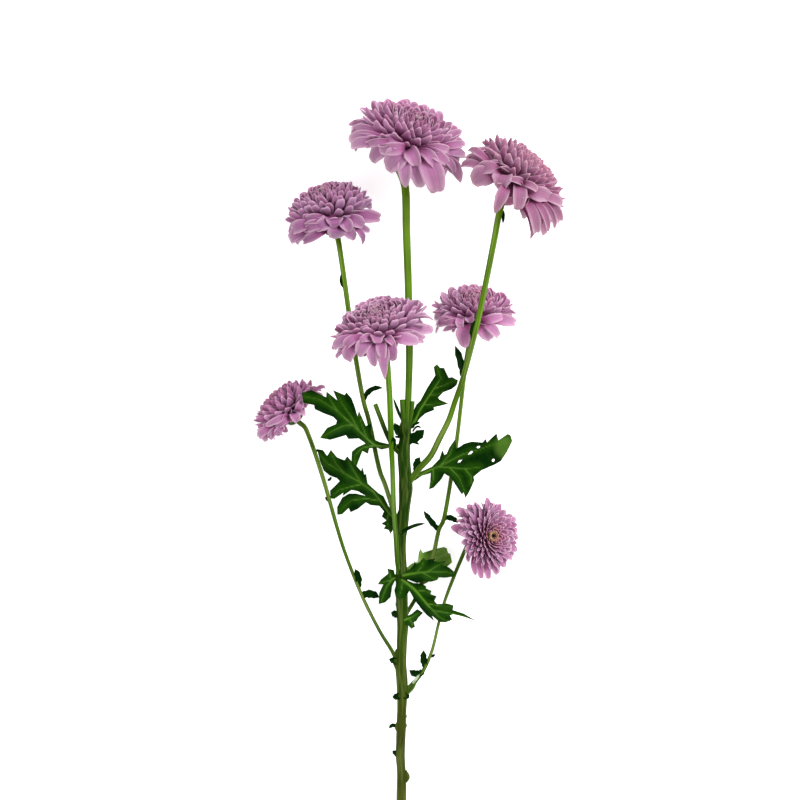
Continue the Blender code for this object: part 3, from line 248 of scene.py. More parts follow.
# Leaves: outline seen from above, tip, heights at the foot, a share of the way along and the
# tip, and the veins, the midrib first.
LEAVES = {
    "A": dict(outline=[
        (1.0, 179.6), (-5.3, 179.9), (-9.4, 180.8), (-12.0, 182.0), (-13.7, 184.7), (-13.3, 189.2),
        (-15.8, 188.1), (-18.9, 195.0), (-19.5, 192.2), (-20.6, 196.3), (-22.1, 200.4),
        (-24.5, 203.2), (-25.3, 202.0), (-30.5, 204.2), (-28.4, 199.5), (-33.3, 203.5),
        (-33.5, 201.0), (-40.2, 204.3), (-44.5, 202.9), (-43.6, 198.5), (-38.9, 197.5),
        (-38.6, 195.7), (-34.8, 193.9), (-30.5, 192.2), (-28.8, 190.5), (-29.2, 189.0),
        (-33.1, 187.3), (-36.3, 182.8), (-31.8, 181.9), (-24.7, 184.0), (-23.6, 182.3),
        (-18.9, 182.5), (-15.9, 180.3), (-19.9, 178.4), (-22.0, 176.6), (-22.2, 171.8),
        (-20.1, 169.8), (-18.4, 174.4), (-17.3, 176.9), (-15.0, 175.7), (-14.3, 178.0),
        (-11.1, 178.5), (-8.7, 177.6), (-5.3, 178.3), (1.0, 178.2)],
        tip=(-44.0, 201.0), heights=(19.6, 22.8, 36.5), bend_at=0.35, fold=0.10,
        veins=[
            [(0.5, 179.2), (-5.5, 179.0), (-11.6, 179.3), (-15.5, 182.5), (-19.8, 186.8),
             (-24.1, 190.7), (-29.3, 195.4), (-37.0, 200.2), (-43.5, 201.5)],
            [(-19.0, 186.2), (-22.4, 192.4), (-26.7, 198.4), (-28.6, 202.6)],
            [(-21.5, 188.4), (-26.0, 188.2), (-30.6, 186.0), (-35.4, 183.4)],
            [(-15.0, 182.0), (-17.6, 188.6), (-18.9, 194.0)],
            [(-12.6, 179.3), (-17.6, 178.2), (-20.6, 175.2), (-20.8, 171.0)],
            [(-28.5, 194.8), (-31.4, 199.4), (-33.0, 202.8)],
        ]),
    "B": dict(outline=[
        (1.2, 146.0), (-4.6, 150.7), (-5.7, 152.0), (-7.9, 156.5), (-10.2, 157.8), (-15.0, 162.1),
        (-15.8, 166.4), (-16.6, 166.2), (-17.4, 169.4), (-18.0, 167.7), (-20.1, 170.1),
        (-22.3, 172.2), (-24.2, 174.4), (-25.5, 172.6), (-28.8, 173.9), (-31.6, 177.3),
        (-33.3, 174.6), (-35.2, 177.2), (-37.9, 177.7), (-36.5, 172.2), (-34.8, 167.9),
        (-32.2, 165.8), (-28.8, 164.5), (-27.6, 163.2), (-28.8, 161.9), (-32.0, 158.9),
        (-31.7, 155.4), (-30.0, 155.2), (-26.0, 158.0), (-26.2, 156.6), (-22.3, 159.3),
        (-19.3, 158.6), (-15.6, 156.5), (-20.1, 157.6), (-23.4, 157.6), (-26.5, 155.8),
        (-28.8, 151.5), (-28.7, 148.1), (-26.6, 148.3), (-23.6, 151.1), (-22.7, 149.2),
        (-19.5, 150.7), (-15.8, 153.7), (-13.7, 152.4), (-9.8, 152.1), (-7.7, 149.6),
        (-8.7, 147.3), (-6.6, 145.6), (-8.8, 144.0), (-6.9, 143.2), (-7.8, 141.9),
        (-5.6, 141.3), (-4.8, 139.4), (-3.6, 141.4), (1.2, 143.4)],
        tip=(-37.0, 176.0), heights=(16.3, 14.2, 12.6), bend_at=0.3, fold=-0.02,
        veins=[
            [(0.5, 144.0), (-4.7, 148.5), (-9.0, 154.1), (-12.5, 158.4), (-17.2, 161.9),
             (-22.4, 164.9), (-27.5, 167.9), (-32.7, 170.9), (-37.0, 175.8)],
            [(-9.0, 154.3), (-15.5, 155.4), (-22.4, 154.6), (-27.5, 149.6)],
            [(-17.2, 161.9), (-22.4, 160.8), (-27.5, 159.5), (-30.8, 156.8)],
            [(-18.0, 162.4), (-22.0, 169.0), (-24.1, 173.2)],
            [(-25.5, 166.8), (-29.4, 171.2), (-31.4, 175.8)],
            [(-5.5, 149.2), (-6.4, 145.2), (-5.4, 141.0)],
        ]),
    "C": dict(outline=[
        (2.0, 188.0), (4.4, 192.5), (7.0, 197.7), (8.7, 199.4), (12.1, 205.8), (15.4, 210.8),
        (14.7, 214.5), (16.2, 215.8), (17.5, 214.2), (19.2, 214.2), (21.4, 209.8), (22.9, 210.1),
        (25.6, 208.6), (25.0, 206.5), (22.9, 204.8), (19.0, 203.3), (16.7, 200.9), (17.3, 200.0),
        (21.3, 198.1), (17.7, 197.2), (14.7, 196.5), (14.9, 195.3), (11.1, 193.8), (8.3, 191.4),
        (5.7, 187.3), (2.0, 185.6)],
        tip=(18.5, 213.0), heights=(19.8, 20.6, 26.0), bend_at=0.4, fold=0.14,
        veins=[
            [(1.5, 186.0), (5.6, 189.4), (9.3, 196.5), (13.9, 203.5), (18.0, 209.6), (16.0, 215.0)],
            [(15.0, 205.0), (19.6, 206.4), (24.6, 208.8)],
            [(9.8, 197.6), (14.0, 197.9), (20.6, 198.3)],
            [(13.0, 202.2), (17.0, 202.4), (19.6, 203.6)],
        ]),
    "D": dict(outline=[
        (3.0, 164.8), (6.1, 166.2), (9.5, 167.7), (13.9, 169.7), (17.3, 173.3), (18.6, 177.2),
        (19.5, 175.1), (20.5, 175.5), (21.8, 178.5), (24.4, 182.2), (25.0, 177.9), (28.5, 180.2),
        (31.9, 181.1), (36.7, 180.7), (38.0, 182.4), (38.7, 180.7), (42.9, 184.8), (43.8, 181.7),
        (47.9, 184.5), (49.2, 183.9), (50.0, 181.3), (47.4, 176.1), (44.9, 172.3), (42.3, 170.8),
        (36.2, 168.2), (32.6, 165.2), (33.0, 163.7), (31.1, 159.3), (29.0, 155.7), (28.1, 158.3),
        (27.4, 157.2), (25.3, 160.4), (22.5, 164.9), (19.5, 166.7), (18.4, 164.5), (14.7, 160.4),
        (12.6, 159.6), (13.2, 162.8), (13.4, 167.0), (9.5, 165.8), (6.5, 163.7), (3.0, 162.4)],
        tip=(49.0, 180.0), heights=(17.0, 18.4, 24.0), bend_at=0.3, fold=0.08,
        faded=(47.5, 178.5, 7.0),
        tears=[(34.8, 178.6, 0.9, 0.55, 25), (31.2, 176.0, 1.6, 0.34, 38),
               (26.5, 172.3, 1.6, 0.32, 33), (41.5, 172.7, 0.8, 0.6, 60)],
        veins=[
            [(3.0, 163.6), (6.0, 165.0), (13.9, 168.6), (16.7, 169.8), (22.0, 169.4),
             (28.8, 168.8), (35.4, 169.6)],
            [(17.5, 170.2), (22.0, 172.5), (27.9, 175.4), (34.5, 177.4), (40.7, 179.6),
             (48.0, 182.6)],
            [(18.2, 170.8), (22.0, 175.4), (24.2, 181.0)],
            [(22.0, 169.2), (26.2, 165.1), (28.9, 158.0)],
            [(14.6, 168.6), (14.6, 164.3), (13.2, 160.6)],
            [(28.8, 168.8), (31.6, 165.4), (31.6, 162.0)],
        ]),
    "E": dict(outline=[
        (0.4, 121.6), (3.4, 122.9), (5.7, 125.6), (6.1, 127.4), (6.7, 126.0), (8.0, 126.5),
        (10.2, 128.9), (11.3, 127.7), (15.4, 128.5), (14.6, 127.3), (17.3, 126.9), (20.2, 127.3),
        (18.9, 125.6), (21.6, 124.4), (24.9, 121.7), (23.7, 120.3), (20.1, 119.8), (17.0, 119.9),
        (16.2, 118.7), (13.3, 118.0), (10.0, 118.6), (7.3, 117.4), (4.2, 118.6), (0.4, 119.8)],
        tip=(24.5, 121.5), heights=(18.7, 19.0, 16.4), bend_at=0.5, fold=0.06,
        veins=[
            [(0.4, 120.8), (6.3, 121.8), (13.0, 122.6), (19.8, 122.3), (24.3, 121.6)],
            [(7.0, 122.0), (9.4, 125.0), (10.4, 128.4)],
            [(12.0, 122.5), (16.0, 125.0), (19.4, 126.8)],
            [(9.5, 122.3), (13.0, 120.2), (16.0, 119.0)],
        ]),
    "F": dict(outline=[
        (0.4, 119.4), (5.7, 117.4), (9.2, 117.2), (11.3, 115.9), (11.3, 114.9), (13.7, 113.9),
        (13.3, 112.4), (16.0, 111.4), (15.0, 109.3), (16.2, 107.9), (20.8, 108.1), (23.7, 107.2),
        (23.3, 105.2), (28.6, 103.4), (33.8, 100.2), (28.2, 102.1), (24.3, 103.5), (22.0, 102.7),
        (23.1, 100.8), (20.1, 99.6), (17.3, 99.8), (13.9, 102.7), (15.0, 100.2), (11.9, 102.7),
        (10.0, 104.6), (6.1, 109.7), (3.8, 113.9), (2.2, 111.6), (-0.1, 110.5), (-2.4, 111.2),
        (-3.0, 114.1), (-1.6, 118.6)],
        tip=(30.0, 102.0), heights=(17.8, 17.6, 13.0), bend_at=0.35, fold=0.0,
        veins=[
            [(0.2, 119.0), (6.1, 114.4), (10.8, 108.9), (14.6, 105.0), (21.6, 103.8),
             (29.0, 102.2), (33.3, 100.3)],
            [(6.8, 113.6), (10.0, 114.0), (13.0, 113.2)],
            [(11.5, 108.2), (17.0, 107.2), (22.6, 106.8)],
            [(14.0, 105.4), (17.4, 102.0), (20.6, 100.2)],
            [(0.8, 118.2), (0.2, 114.4), (-0.8, 111.4)],
        ]),
    "G": dict(outline=[
        (0.6, 120.6), (-2.8, 121.3), (-3.2, 123.2), (-6.1, 123.8), (-5.7, 121.7), (-9.0, 119.0),
        (-10.4, 116.8), (-8.0, 116.7), (-9.8, 112.8), (-10.0, 107.9), (-7.1, 108.7),
        (-4.7, 111.0), (-4.0, 115.9), (-2.8, 118.2), (0.6, 118.8)],
        tip=(-9.5, 109.0), heights=(14.2, 15.0, 16.0), bend_at=0.4, fold=0.05,
        veins=[
            [(0.6, 119.7), (-3.6, 119.2), (-6.4, 116.0), (-8.0, 112.0), (-8.9, 108.6)],
            [(-4.4, 118.8), (-5.0, 121.0), (-5.8, 123.4)],
            [(-4.4, 118.6), (-7.4, 118.0), (-9.8, 117.0)],
        ]),
    "H": dict(outline=[
        (1.6, 123.4), (4.9, 126.0), (7.8, 126.8), (8.0, 130.4), (8.7, 132.7), (9.8, 130.8),
        (14.2, 132.2), (19.3, 133.4), (20.6, 132.9), (21.2, 130.8), (22.2, 130.4), (23.0, 126.5),
        (21.2, 124.8), (16.0, 121.0), (11.9, 117.4), (10.0, 116.5), (7.3, 117.8), (1.6, 120.6)],
        tip=(22.0, 130.0), heights=(13.2, 8.2, 6.0), bend_at=0.3, fold=0.0,
        veins=[
            [(1.6, 122.0), (8.0, 124.4), (14.0, 127.4), (20.6, 130.4)],
            [(7.6, 124.4), (8.4, 128.4), (8.8, 132.0)],
            [(12.0, 126.4), (15.6, 130.4), (19.4, 132.8)],
            [(10.0, 125.4), (16.0, 125.0), (22.0, 126.8)],
        ]),
    "I": dict(outline=[
        (1.2, 101.6), (4.9, 103.5), (7.3, 105.6), (10.0, 103.9), (8.0, 101.9), (6.9, 100.2),
        (5.7, 99.6), (6.3, 97.7), (4.6, 96.7), (3.4, 98.1), (1.2, 99.4)],
        tip=(9.0, 103.5), heights=(14.6, 15.0, 14.2), bend_at=0.5, fold=0.03,
        veins=[
            [(1.2, 100.6), (4.6, 101.8), (8.6, 104.2)],
            [(3.6, 101.2), (5.0, 99.4), (5.2, 97.6)],
        ]),
}

# Bracts and buds on each stalk: foot, knee, tip and width.
BRACTS = {
    "main": [
        ((-0.8, 102.6, 13.4), (-2.4, 103.4, 13.8), (-4.4, 104.0, 14.2), 3.6),
        ((-0.6, 38.8, 6.6), (-2.2, 40.2, 6.8), (-3.8, 41.4, 7.0), 2.4),
        ((-1.6, 52.0, 8.0), (-3.9, 54.2, 8.4), (-5.3, 51.6, 8.4), 1.8),
        ((-0.6, 81.6, 11.6), (-2.6, 82.0, 12.2), (-5.3, 83.0, 12.4), 3.4),
        ((0.6, 66.8, 10.6), (-1.4, 66.0, 10.8), (-3.8, 65.8, 10.6), 3.4),
        ((0.6, 67.0, 10.9), (2.2, 66.4, 10.9), (3.7, 65.4, 10.4), 3.0),
        ((1.0, 183.2, 21.6), (-1.8, 186.0, 22.2), (-2.9, 189.4, 22.4), 3.8),
        ((0.4, 182.9, 21.4), (-1.2, 183.3, 21.4), (-2.9, 183.2, 21.4), 1.1),
        ((3.0, 181.8, 21.6), (6.2, 182.0, 22.6), (10.4, 186.4, 22.9), 5.4),
        ((5.2, 185.6, 22.0), (7.4, 189.4, 22.4), (9.0, 187.0, 22.6), 0.9),
        ((4.4, 182.0, 21.8), (6.2, 180.8, 22.0), (8.2, 179.8, 22.0), 1.2),
        ((5.4, 188.6, 22.2), (7.0, 189.2, 22.4), (8.4, 189.8, 22.4), 1.0),
        ((0.8, 190.4, 22.4), (-1.2, 193.8, 22.8), (-3.4, 200.6, 23.0), 1.4),
        ((-0.8, 139.4, 19.2), (4.6, 143.8, 20.4), (10.8, 144.2, 19.8), 1.7),
        ((1.0, 122.0, 17.2), (-0.6, 124.6, 17.6), (-0.4, 127.6, 18.0), 1.6),
    ],
    "2": [
        ((44.8, 284.6, 44.2), (46.0, 284.2, 44.4), (45.6, 278.8, 44.2), 1.8),
        ((6.9, 168.0, 21.8), (6.4, 171.4, 22.0), (8.5, 174.0, 22.2), 3.4),
        ((32.6, 226.8, 40.6), (31.3, 230.6, 41.2), (33.2, 235.6, 42.2), 3.0),
    ],
    "3": [
        ((-17.2, 199.0, 16.4), (-14.8, 206.4, 17.4), (-8.2, 205.2, 18.4), 2.6),
        ((-25.4, 250.4, 16.1), (-27.6, 252.0, 16.4), (-27.0, 256.4, 16.6), 1.4),
    ],
    "4": [((-4.2, 178.0, 27.4), (-2.8, 180.4, 28.2), (-3.6, 183.2, 29.2), 2.6)],
    "5": [
        ((16.9, 141.4, 10.6), (13.6, 144.6, 10.9), (10.2, 149.8, 11.2), 2.8),
        ((19.2, 146.6, 10.6), (23.0, 147.6, 10.7), (25.8, 144.4, 10.8), 2.8),
        ((27.9, 210.6, 13.6), (27.7, 216.4, 13.6), (24.4, 224.2, 12.8), 3.6),
    ],
    "6": [
        ((-19.2, 115.4, 11.1), (-18.4, 120.0, 12.0), (-20.8, 123.6, 12.8), 3.2),
        ((-17.4, 111.8, 10.8), (-13.6, 113.4, 11.2), (-9.9, 110.8, 11.8), 4.0),
        ((-39.6, 176.4, 16.6), (-38.4, 176.2, 16.9), (-37.6, 177.6, 17.0), 1.2),
        ((-33.0, 163.8, 15.8), (-32.0, 163.6, 16.1), (-31.4, 165.2, 16.2), 1.2),
        ((-32.2, 154.2, 14.9), (-33.4, 154.6, 15.2), (-34.0, 156.2, 15.2), 1.2),
    ],
    "7": [
        ((11.0, 79.4, 8.4), (9.9, 82.4, 9.0), (10.2, 86.8, 9.6), 3.4),
        ((9.8, 77.4, 8.8), (7.2, 74.8, 9.4), (3.8, 77.9, 9.6), 3.6),
        ((13.7, 84.0, 8.2), (14.8, 84.2, 8.4), (15.1, 85.2, 8.5), 1.3),
    ],
}

# Side shoots that were cut off, at the top of the main stem.
STUBS = [
    [(0.6, 174.5, 20.4, 1.1), (-5.0, 181.4, 23.2, 1.0), (-11.6, 197.9, 26.2, 1.05)],
    [(1.4, 186.0, 21.6, 1.1), (0.9, 193.0, 22.2, 1.05), (0.6, 200.0, 22.6, 1.2)],
    [(2.6, 186.0, 21.8, 0.9), (4.7, 193.4, 22.9, 0.85), (5.3, 199.2, 23.6, 0.85)],
]

# Florets, in shares of a head's radius or of a floret's length.
SHOULDER = 2.8                          # how full a dome is; 2 would be an ellipse
FOOT_WIDTH = 0.30                       # how wide a floret starts, beside its full width
TIP_ROUND = 0.24                        # 0.25 would make half a circle
TIP_EDGE = 0.96                         # how much of that half circle the tip uses
LONGEST_TIP = 0.42
POINT_FALL = 2.2                        # how far the edges of a single point fall back
ROWS_TO_TIP = 1.25                      # over 1, the mesh rows lie closer towards the tip
DEEPEST_DIP = 0.38                      # how far a hanging floret's tip lies below its knee, at most
TIP_MARGIN = 0.08                       # rounding and cupping take this much of what was measured
EDGE_MARGIN = 0.18
SWELL_REACH = 35                        # degrees over which a swell fades
LOWER_ROWS = (math.radians(62), math.radians(98))
YOUNG_ROWS = (math.radians(8), math.radians(55))
SIDE_ROWS = math.radians(102)           # past this the florets are left to the far side
SIDE_TURN = 1.0                         # radians by which near side florets show their backs
FAR_TURN = 0.5                          # and those behind them show their hollows
EYE_FLORETS = 62
EYE_HOLLOW = 18                         # the first florets of the eye, left out
CALYX_BRACTS = 13

# Stalks and leaves, in millimetres unless a comment says otherwise.
STALK_NECK = 0.08                       # the straight last part of a stalk, in shares of the radius
ROUTE_STEPS = 4                         # mesh rings from one point of a stalk to the next
RIB_HEIGHT = 0.05                       # in shares of a stalk's radius
MAP_PER_MM = 0.1                        # how much of the map a millimetre of stalk takes
TOOTHED_FROM = 2                        # bracts that are wider have teeth
PRESSED_FROM = 2.0                      # what lies lower is pressed between this and PRESSED_TO
PRESSED_TO = 0.25
LEAF_CELL = 0.55                        # between a leaf's mesh lines
MIDRIB = 0.42
SIDE_VEIN = 0.26


def linear(code):
    """An sRGB hex colour as linear values."""
    parts = [int(code[i:i + 2], 16) / 255 for i in (1, 3, 5)]
    return (*[c / 12.92 if c <= 0.04045 else ((c + 0.055) / 1.055) ** 2.4 for c in parts], 1.0)


def place(point):
    """A point in millimetres from the cut end's axis, in metres from the origin."""
    return (Vector(point[:3]) - MIDDLE) * MM


def seen_at(pixel, height):
    """The point of the photograph at a height over the table, in the tables' millimetres."""
    share = (CAMERA_HEIGHT - height) / (CAMERA_HEIGHT - STEM_HEIGHT) * IMAGE_WIDTH / IMAGE_PIXELS
    return Vector((IMAGE_MIDDLE[0] + (pixel[0] - IMAGE_PIXELS / 2) * share,
                   IMAGE_MIDDLE[1] + (IMAGE_PIXELS / 2 - pixel[1]) * share, height))


def smooth(low, high, value):
    share = min(1.0, max(0.0, (value - low) / (high - low)))
    return share * share * (3 - 2 * share)


def socket_of(node, name):
    return node.inputs[int(name[3:]) if name.startswith("in_") else name.replace("_", " ")]


def add_node(shade, kind, settings, **links):
    """Add a shader node, set its properties and sockets, and link the sockets that are given."""
    tree = shade.node_tree
    node = tree.nodes.new("ShaderNode" + kind)
    for name, value in settings.items():
        if hasattr(node, name):
            setattr(node, name, value)
        else:
            socket_of(node, name).default_value = value
    for name, source in links.items():
        tree.links.new(source, socket_of(node, name))
    return node


def new_shade(name, **settings):
    shade = bpy.data.materials.new(name)
    shade.use_nodes = True
    shader = shade.node_tree.nodes["Principled BSDF"]
    for label, value in settings.items():
        socket_of(shader, label).default_value = value
    return shade, shader


def finish_shade(shade, shader, colour, height, strength):
    """Link a colour and a relief of a third of a millimetre to the surface."""
    relief = add_node(shade, "Bump", dict(Strength=strength, Distance=0.0003), Height=height)
    shade.node_tree.links.new(colour, shader.inputs["Base Color"])
    shade.node_tree.links.new(relief.outputs["Normal"], shader.inputs["Normal"])
    return shade


def colour_stops(node, stops):
    """Give a colour ramp its positions and colours; the two it starts with are its ends."""
    points = node.color_ramp.elements
    points[0].color = linear(stops[0][1])
    points[1].color = linear(stops[-1][1])
    for position, code in stops[1:-1]:
        points.new(position).color = linear(code)


MULTIPLIED = dict(data_type="RGBA", blend_type="MULTIPLY", in_0=1.0)


def floret_shade(name, stops, rim_highlight_colour):
    """A thin petal, softly felted: dark magenta at its foot, partly painted shade, and painted highlight
    on tip and rim.
    """
    shade, shader = new_shade(name, Roughness=0.62, Specular_IOR_Level=0.25, Sheen_Weight=0.06,
                              Subsurface_Weight=0.15, Subsurface_Scale=0.0012,
                              Subsurface_Radius=(1.0, 0.4, 0.6))
    uv = add_node(shade, "UVMap", dict(uv_map="UVMap")).outputs["UV"]
    split = add_node(shade, "SeparateXYZ", {}, Vector=uv)
    along = split.outputs["Y"]
    # An open floret shows none of the dark foot, which is partly painted shade, so its colours start
    # further along.
    tint = add_node(shade, "Attribute", dict(attribute_name="tint"))
    bare = add_node(shade, "Math", dict(operation="SUBTRACT", in_0=1.0), in_1=tint.outputs["Alpha"])
    from_foot = add_node(shade, "Math", dict(operation="ADD", use_clamp=True),
                         in_0=along, in_1=bare.outputs["Value"])
    body = add_node(shade, "ValToRGB", {}, Fac=from_foot.outputs["Value"])
    colour_stops(body, stops)
    # Grooves along each floret; in life about 0.2 mm apart, drawn coarser so that they show.
    stretched = add_node(shade, "Mapping", dict(Scale=(7.0, 0.7, 1.0)), Vector=uv)
    grooves = add_node(shade, "TexNoise", dict(Scale=1.6, Detail=2.0),
                       Vector=stretched.outputs["Vector"]).outputs["Fac"]
    stripe = add_node(shade, "MapRange",
                      dict(From_Min=0.35, From_Max=0.65, To_Min=0.84, To_Max=1.08), Value=grooves)
    body = add_node(shade, "Mix", MULTIPLIED,
                    in_6=body.outputs["Color"], in_7=stripe.outputs["Result"])
    # Each floret has its own tone, some pinker and darker than others, the youngest duller.
    body = add_node(shade, "Mix", MULTIPLIED, in_6=body.outputs[2], in_7=tint.outputs["Color"])
    # A painted highlight on the rim: paler from about 1 mm inside the edge, on the outer half of the
    # floret.
    centre = add_node(shade, "Math", dict(operation="SUBTRACT", in_1=0.5), in_0=split.outputs["X"])
    side = add_node(shade, "Math", dict(operation="ABSOLUTE"), in_0=centre.outputs["Value"])
    edge = add_node(shade, "MapRange", dict(From_Min=0.14, From_Max=0.5, To_Max=0.6),
                    Value=side.outputs["Value"])
    outer = add_node(shade, "MapRange", dict(From_Min=0.35, From_Max=0.8), Value=along)
    rim = add_node(shade, "Math", dict(operation="MULTIPLY"),
                   in_0=edge.outputs["Result"], in_1=outer.outputs["Result"])
    body = add_node(shade, "Mix", dict(data_type="RGBA", in_7=linear(rim_highlight_colour)),
                    in_0=rim.outputs["Value"], in_6=body.outputs[2])
    return finish_shade(shade, shader, body.outputs[2], grooves, 0.15)


def leaf_shade(name, deep, olive, pale, roughness):
    """A leaf blade: dark lobes, olive beside the veins, paler veins and a fine net between them."""
    shade, shader = new_shade(name, Roughness=roughness, Specular_IOR_Level=0.02,
                              Subsurface_Weight=0.05, Subsurface_Scale=0.001)
    where = add_node(shade, "TexCoord", {}).outputs["Object"]
    blotch = add_node(shade, "TexNoise", dict(Scale=140.0, Detail=3.0), Vector=where)
    mottle = add_node(shade, "MapRange",
                      dict(From_Min=0.3, From_Max=0.7, To_Min=-0.3, To_Max=0.3),
                      Value=blotch.outputs["Fac"])
    heart = add_node(shade, "Attribute", dict(attribute_name="heart"))
    depth = add_node(shade, "Math", dict(operation="ADD", use_clamp=True),
                     in_0=heart.outputs["Fac"], in_1=mottle.outputs["Result"])
    body = add_node(shade, "Mix",
                    dict(data_type="RGBA", in_6=linear(deep), in_7=linear(olive)),
                    in_0=depth.outputs["Value"])
    # The net of the smallest veins, with cells about 1.6 mm across.
    net = add_node(shade, "TexVoronoi", dict(feature="DISTANCE_TO_EDGE", Scale=620.0),
                   Vector=where).outputs["Distance"]
    line = add_node(shade, "MapRange", dict(From_Max=0.1, To_Min=0.04, To_Max=0.0), Value=net)
    body = add_node(shade, "Mix", dict(data_type="RGBA", in_7=linear(pale)),
                    in_0=line.outputs["Result"], in_6=body.outputs[2])
    vein = add_node(shade, "Attribute", dict(attribute_name="vein"))
    body = add_node(shade, "Mix", dict(data_type="RGBA", in_7=linear(pale)),
                    in_0=vein.outputs["Fac"], in_6=body.outputs[2])
    return finish_shade(shade, shader, body.outputs[2], net, 0.35)


def stalk_shade(name, stops, ridge, streak_share):
    """A green stem: satin skin that changes along the spray, mottled, with pale ridges along it."""
    shade, shader = new_shade(name, Roughness=0.5, Specular_IOR_Level=0.03, Subsurface_Weight=0.05,
                              Subsurface_Scale=0.001)
    uv = add_node(shade, "UVMap", dict(uv_map="UVMap"))
    stretched = add_node(shade, "Mapping", dict(Scale=(9.0, 0.35, 1.0)), Vector=uv.outputs["UV"])
    streak = add_node(shade, "TexNoise", dict(Scale=1.3, Detail=3.0),
                      Vector=stretched.outputs["Vector"]).outputs["Fac"]
    where = add_node(shade, "TexCoord", {}).outputs["Object"]
    patch = add_node(shade, "TexNoise", dict(Scale=45.0, Detail=2.0), Vector=where)
    mottle = add_node(shade, "MapRange",
                      dict(From_Min=0.35, From_Max=0.65, To_Min=0.72, To_Max=1.3),
                      Value=patch.outputs["Fac"])
    # The colours run from the cut end to below the heads.
    split = add_node(shade, "SeparateXYZ", {}, Vector=where)
    height = add_node(shade, "MapRange", dict(From_Min=-0.167, From_Max=0.130),
                      Value=split.outputs["Y"])
    body = add_node(shade, "ValToRGB", {}, Fac=height.outputs["Result"])
    colour_stops(body, stops)
    body = add_node(shade, "Mix", MULTIPLIED,
                    in_6=body.outputs["Color"], in_7=mottle.outputs["Result"])
    lines = add_node(shade, "MapRange", dict(From_Min=0.46, From_Max=0.64, To_Max=streak_share),
                     Value=streak)
    body = add_node(shade, "Mix", dict(data_type="RGBA", in_7=linear(ridge)),
                    in_0=lines.outputs["Result"], in_6=body.outputs[2])
    return finish_shade(shade, shader, body.outputs[2], streak, 0.3)


def skin_shade(name, low, high, roughness, scale):
    """A matt plant skin, mottled between two colours."""
    shade, shader = new_shade(name, Roughness=roughness, Specular_IOR_Level=0.15)
    where = add_node(shade, "TexCoord", {}).outputs["Object"]
    patch = add_node(shade, "TexNoise", dict(Scale=scale, Detail=2.0), Vector=where)
    share = add_node(shade, "MapRange", dict(From_Min=0.35, From_Max=0.65),
                     Value=patch.outputs["Fac"])
    body = add_node(shade, "Mix",
                    dict(data_type="RGBA", in_6=linear(low), in_7=linear(high)),
                    in_0=share.outputs["Result"])
    return finish_shade(shade, shader, body.outputs[2], patch.outputs["Fac"], 0.3)


def cast(mould, name):
    """The mesh of a mould, which is used up."""
    mesh = bpy.data.meshes.new(name)
    mould.to_mesh(mesh)
    mould.free()
    return mesh


def add_object(name, data):
    made = bpy.data.objects.new(name, data)
    bpy.context.scene.collection.objects.link(made)
    return made


def finish_piece(name, mould, shades, replaced):
    """Turn a mould into a smooth piece that stands for its solids."""
    mesh = cast(mould, name)
    for shade in shades:
        mesh.materials.append(shade)
    for face in mesh.polygons:
        face.use_smooth = True
    piece = add_object(name, mesh)
    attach(piece, "root")
    if replaced:
        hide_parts(*replaced)
    return piece


def thicken(piece, thickness, under_slot=0):
    shell = piece.modifiers.new("thickness", "SOLIDIFY")
    shell.thickness = thickness * MM
    shell.offset = 0.0
    shell.material_offset = under_slot


def sheet(columns, rows):
    """A flat sheet from -1 to 1 each way with its map, to be shaped into a floret or bract."""
    mould = bmesh.new()
    mould.loops.layers.uv.new("UVMap")
    bmesh.ops.create_grid(mould, x_segments=columns, y_segments=rows, size=1.0, calc_uvs=True)
    return cast(mould, "sheet")


def new_mould():
    """An empty mould with the map and the tint that the surfaces read."""
    mould = bmesh.new()
    mould.loops.layers.uv.new("UVMap")
    mould.verts.layers.float_color.new("tint")
    return mould


def add_sheet(mould, flat_sheet, form, tint=(1, 1, 1, 1)):
    """Add a sheet to a mould, with each point moved by form(across, along)."""
    start = len(mould.verts)
    mould.from_mesh(flat_sheet)
    mould.verts.ensure_lookup_table()
    tints = mould.verts.layers.float_color["tint"]
    for vert in mould.verts[start:]:
        vert[tints] = tint
        vert.co = form(vert.co.x, (vert.co.y + 1) / 2)


def bend(start, control, end, t):
    return start * (1 - t) ** 2 + control * 2 * t * (1 - t) + end * t * t


def bend_way(start, control, end, t):
    return ((control - start) * (1 - t) + (end - control) * t).normalized()


def head_turn(head):
    """The turn that brings +Z to a head's axis, and that axis."""
    lean, rise = math.radians(head["lean"]), math.radians(head["rise"])
    flat = math.cos(rise)
    axis = Vector((flat * math.sin(lean), flat * math.cos(lean), math.sin(rise)))
    return axis.to_track_quat("Z", "Y").to_matrix().to_4x4(), axis


def head_frame(head):
    """Sets what is made in shares of a head's radius, with its eye on +Z, in its place."""
    return (Matrix.Translation(place(head["middle"])) @ head_turn(head)[0]
            @ Matrix.Scale(head["radius"] * MM, 4))


def stalk_end(head, radius):
    """The last two points of a stalk, in line with its head's axis."""
    axis = head_turn(head)[1]
    depths = (head["seat"] + STALK_NECK, head["seat"])
    return [(*(Vector(head["middle"]) - axis * head["radius"] * depth), radius) for depth in depths]


def dome_reach(angle, dome):
    """How far a dome with full shoulders reaches at an angle from its axis."""
    if angle >= math.pi / 2:
        return 1.0
    return ((math.cos(angle) / dome) ** SHOULDER + math.sin(angle) ** SHOULDER) ** (-1 / SHOULDER)


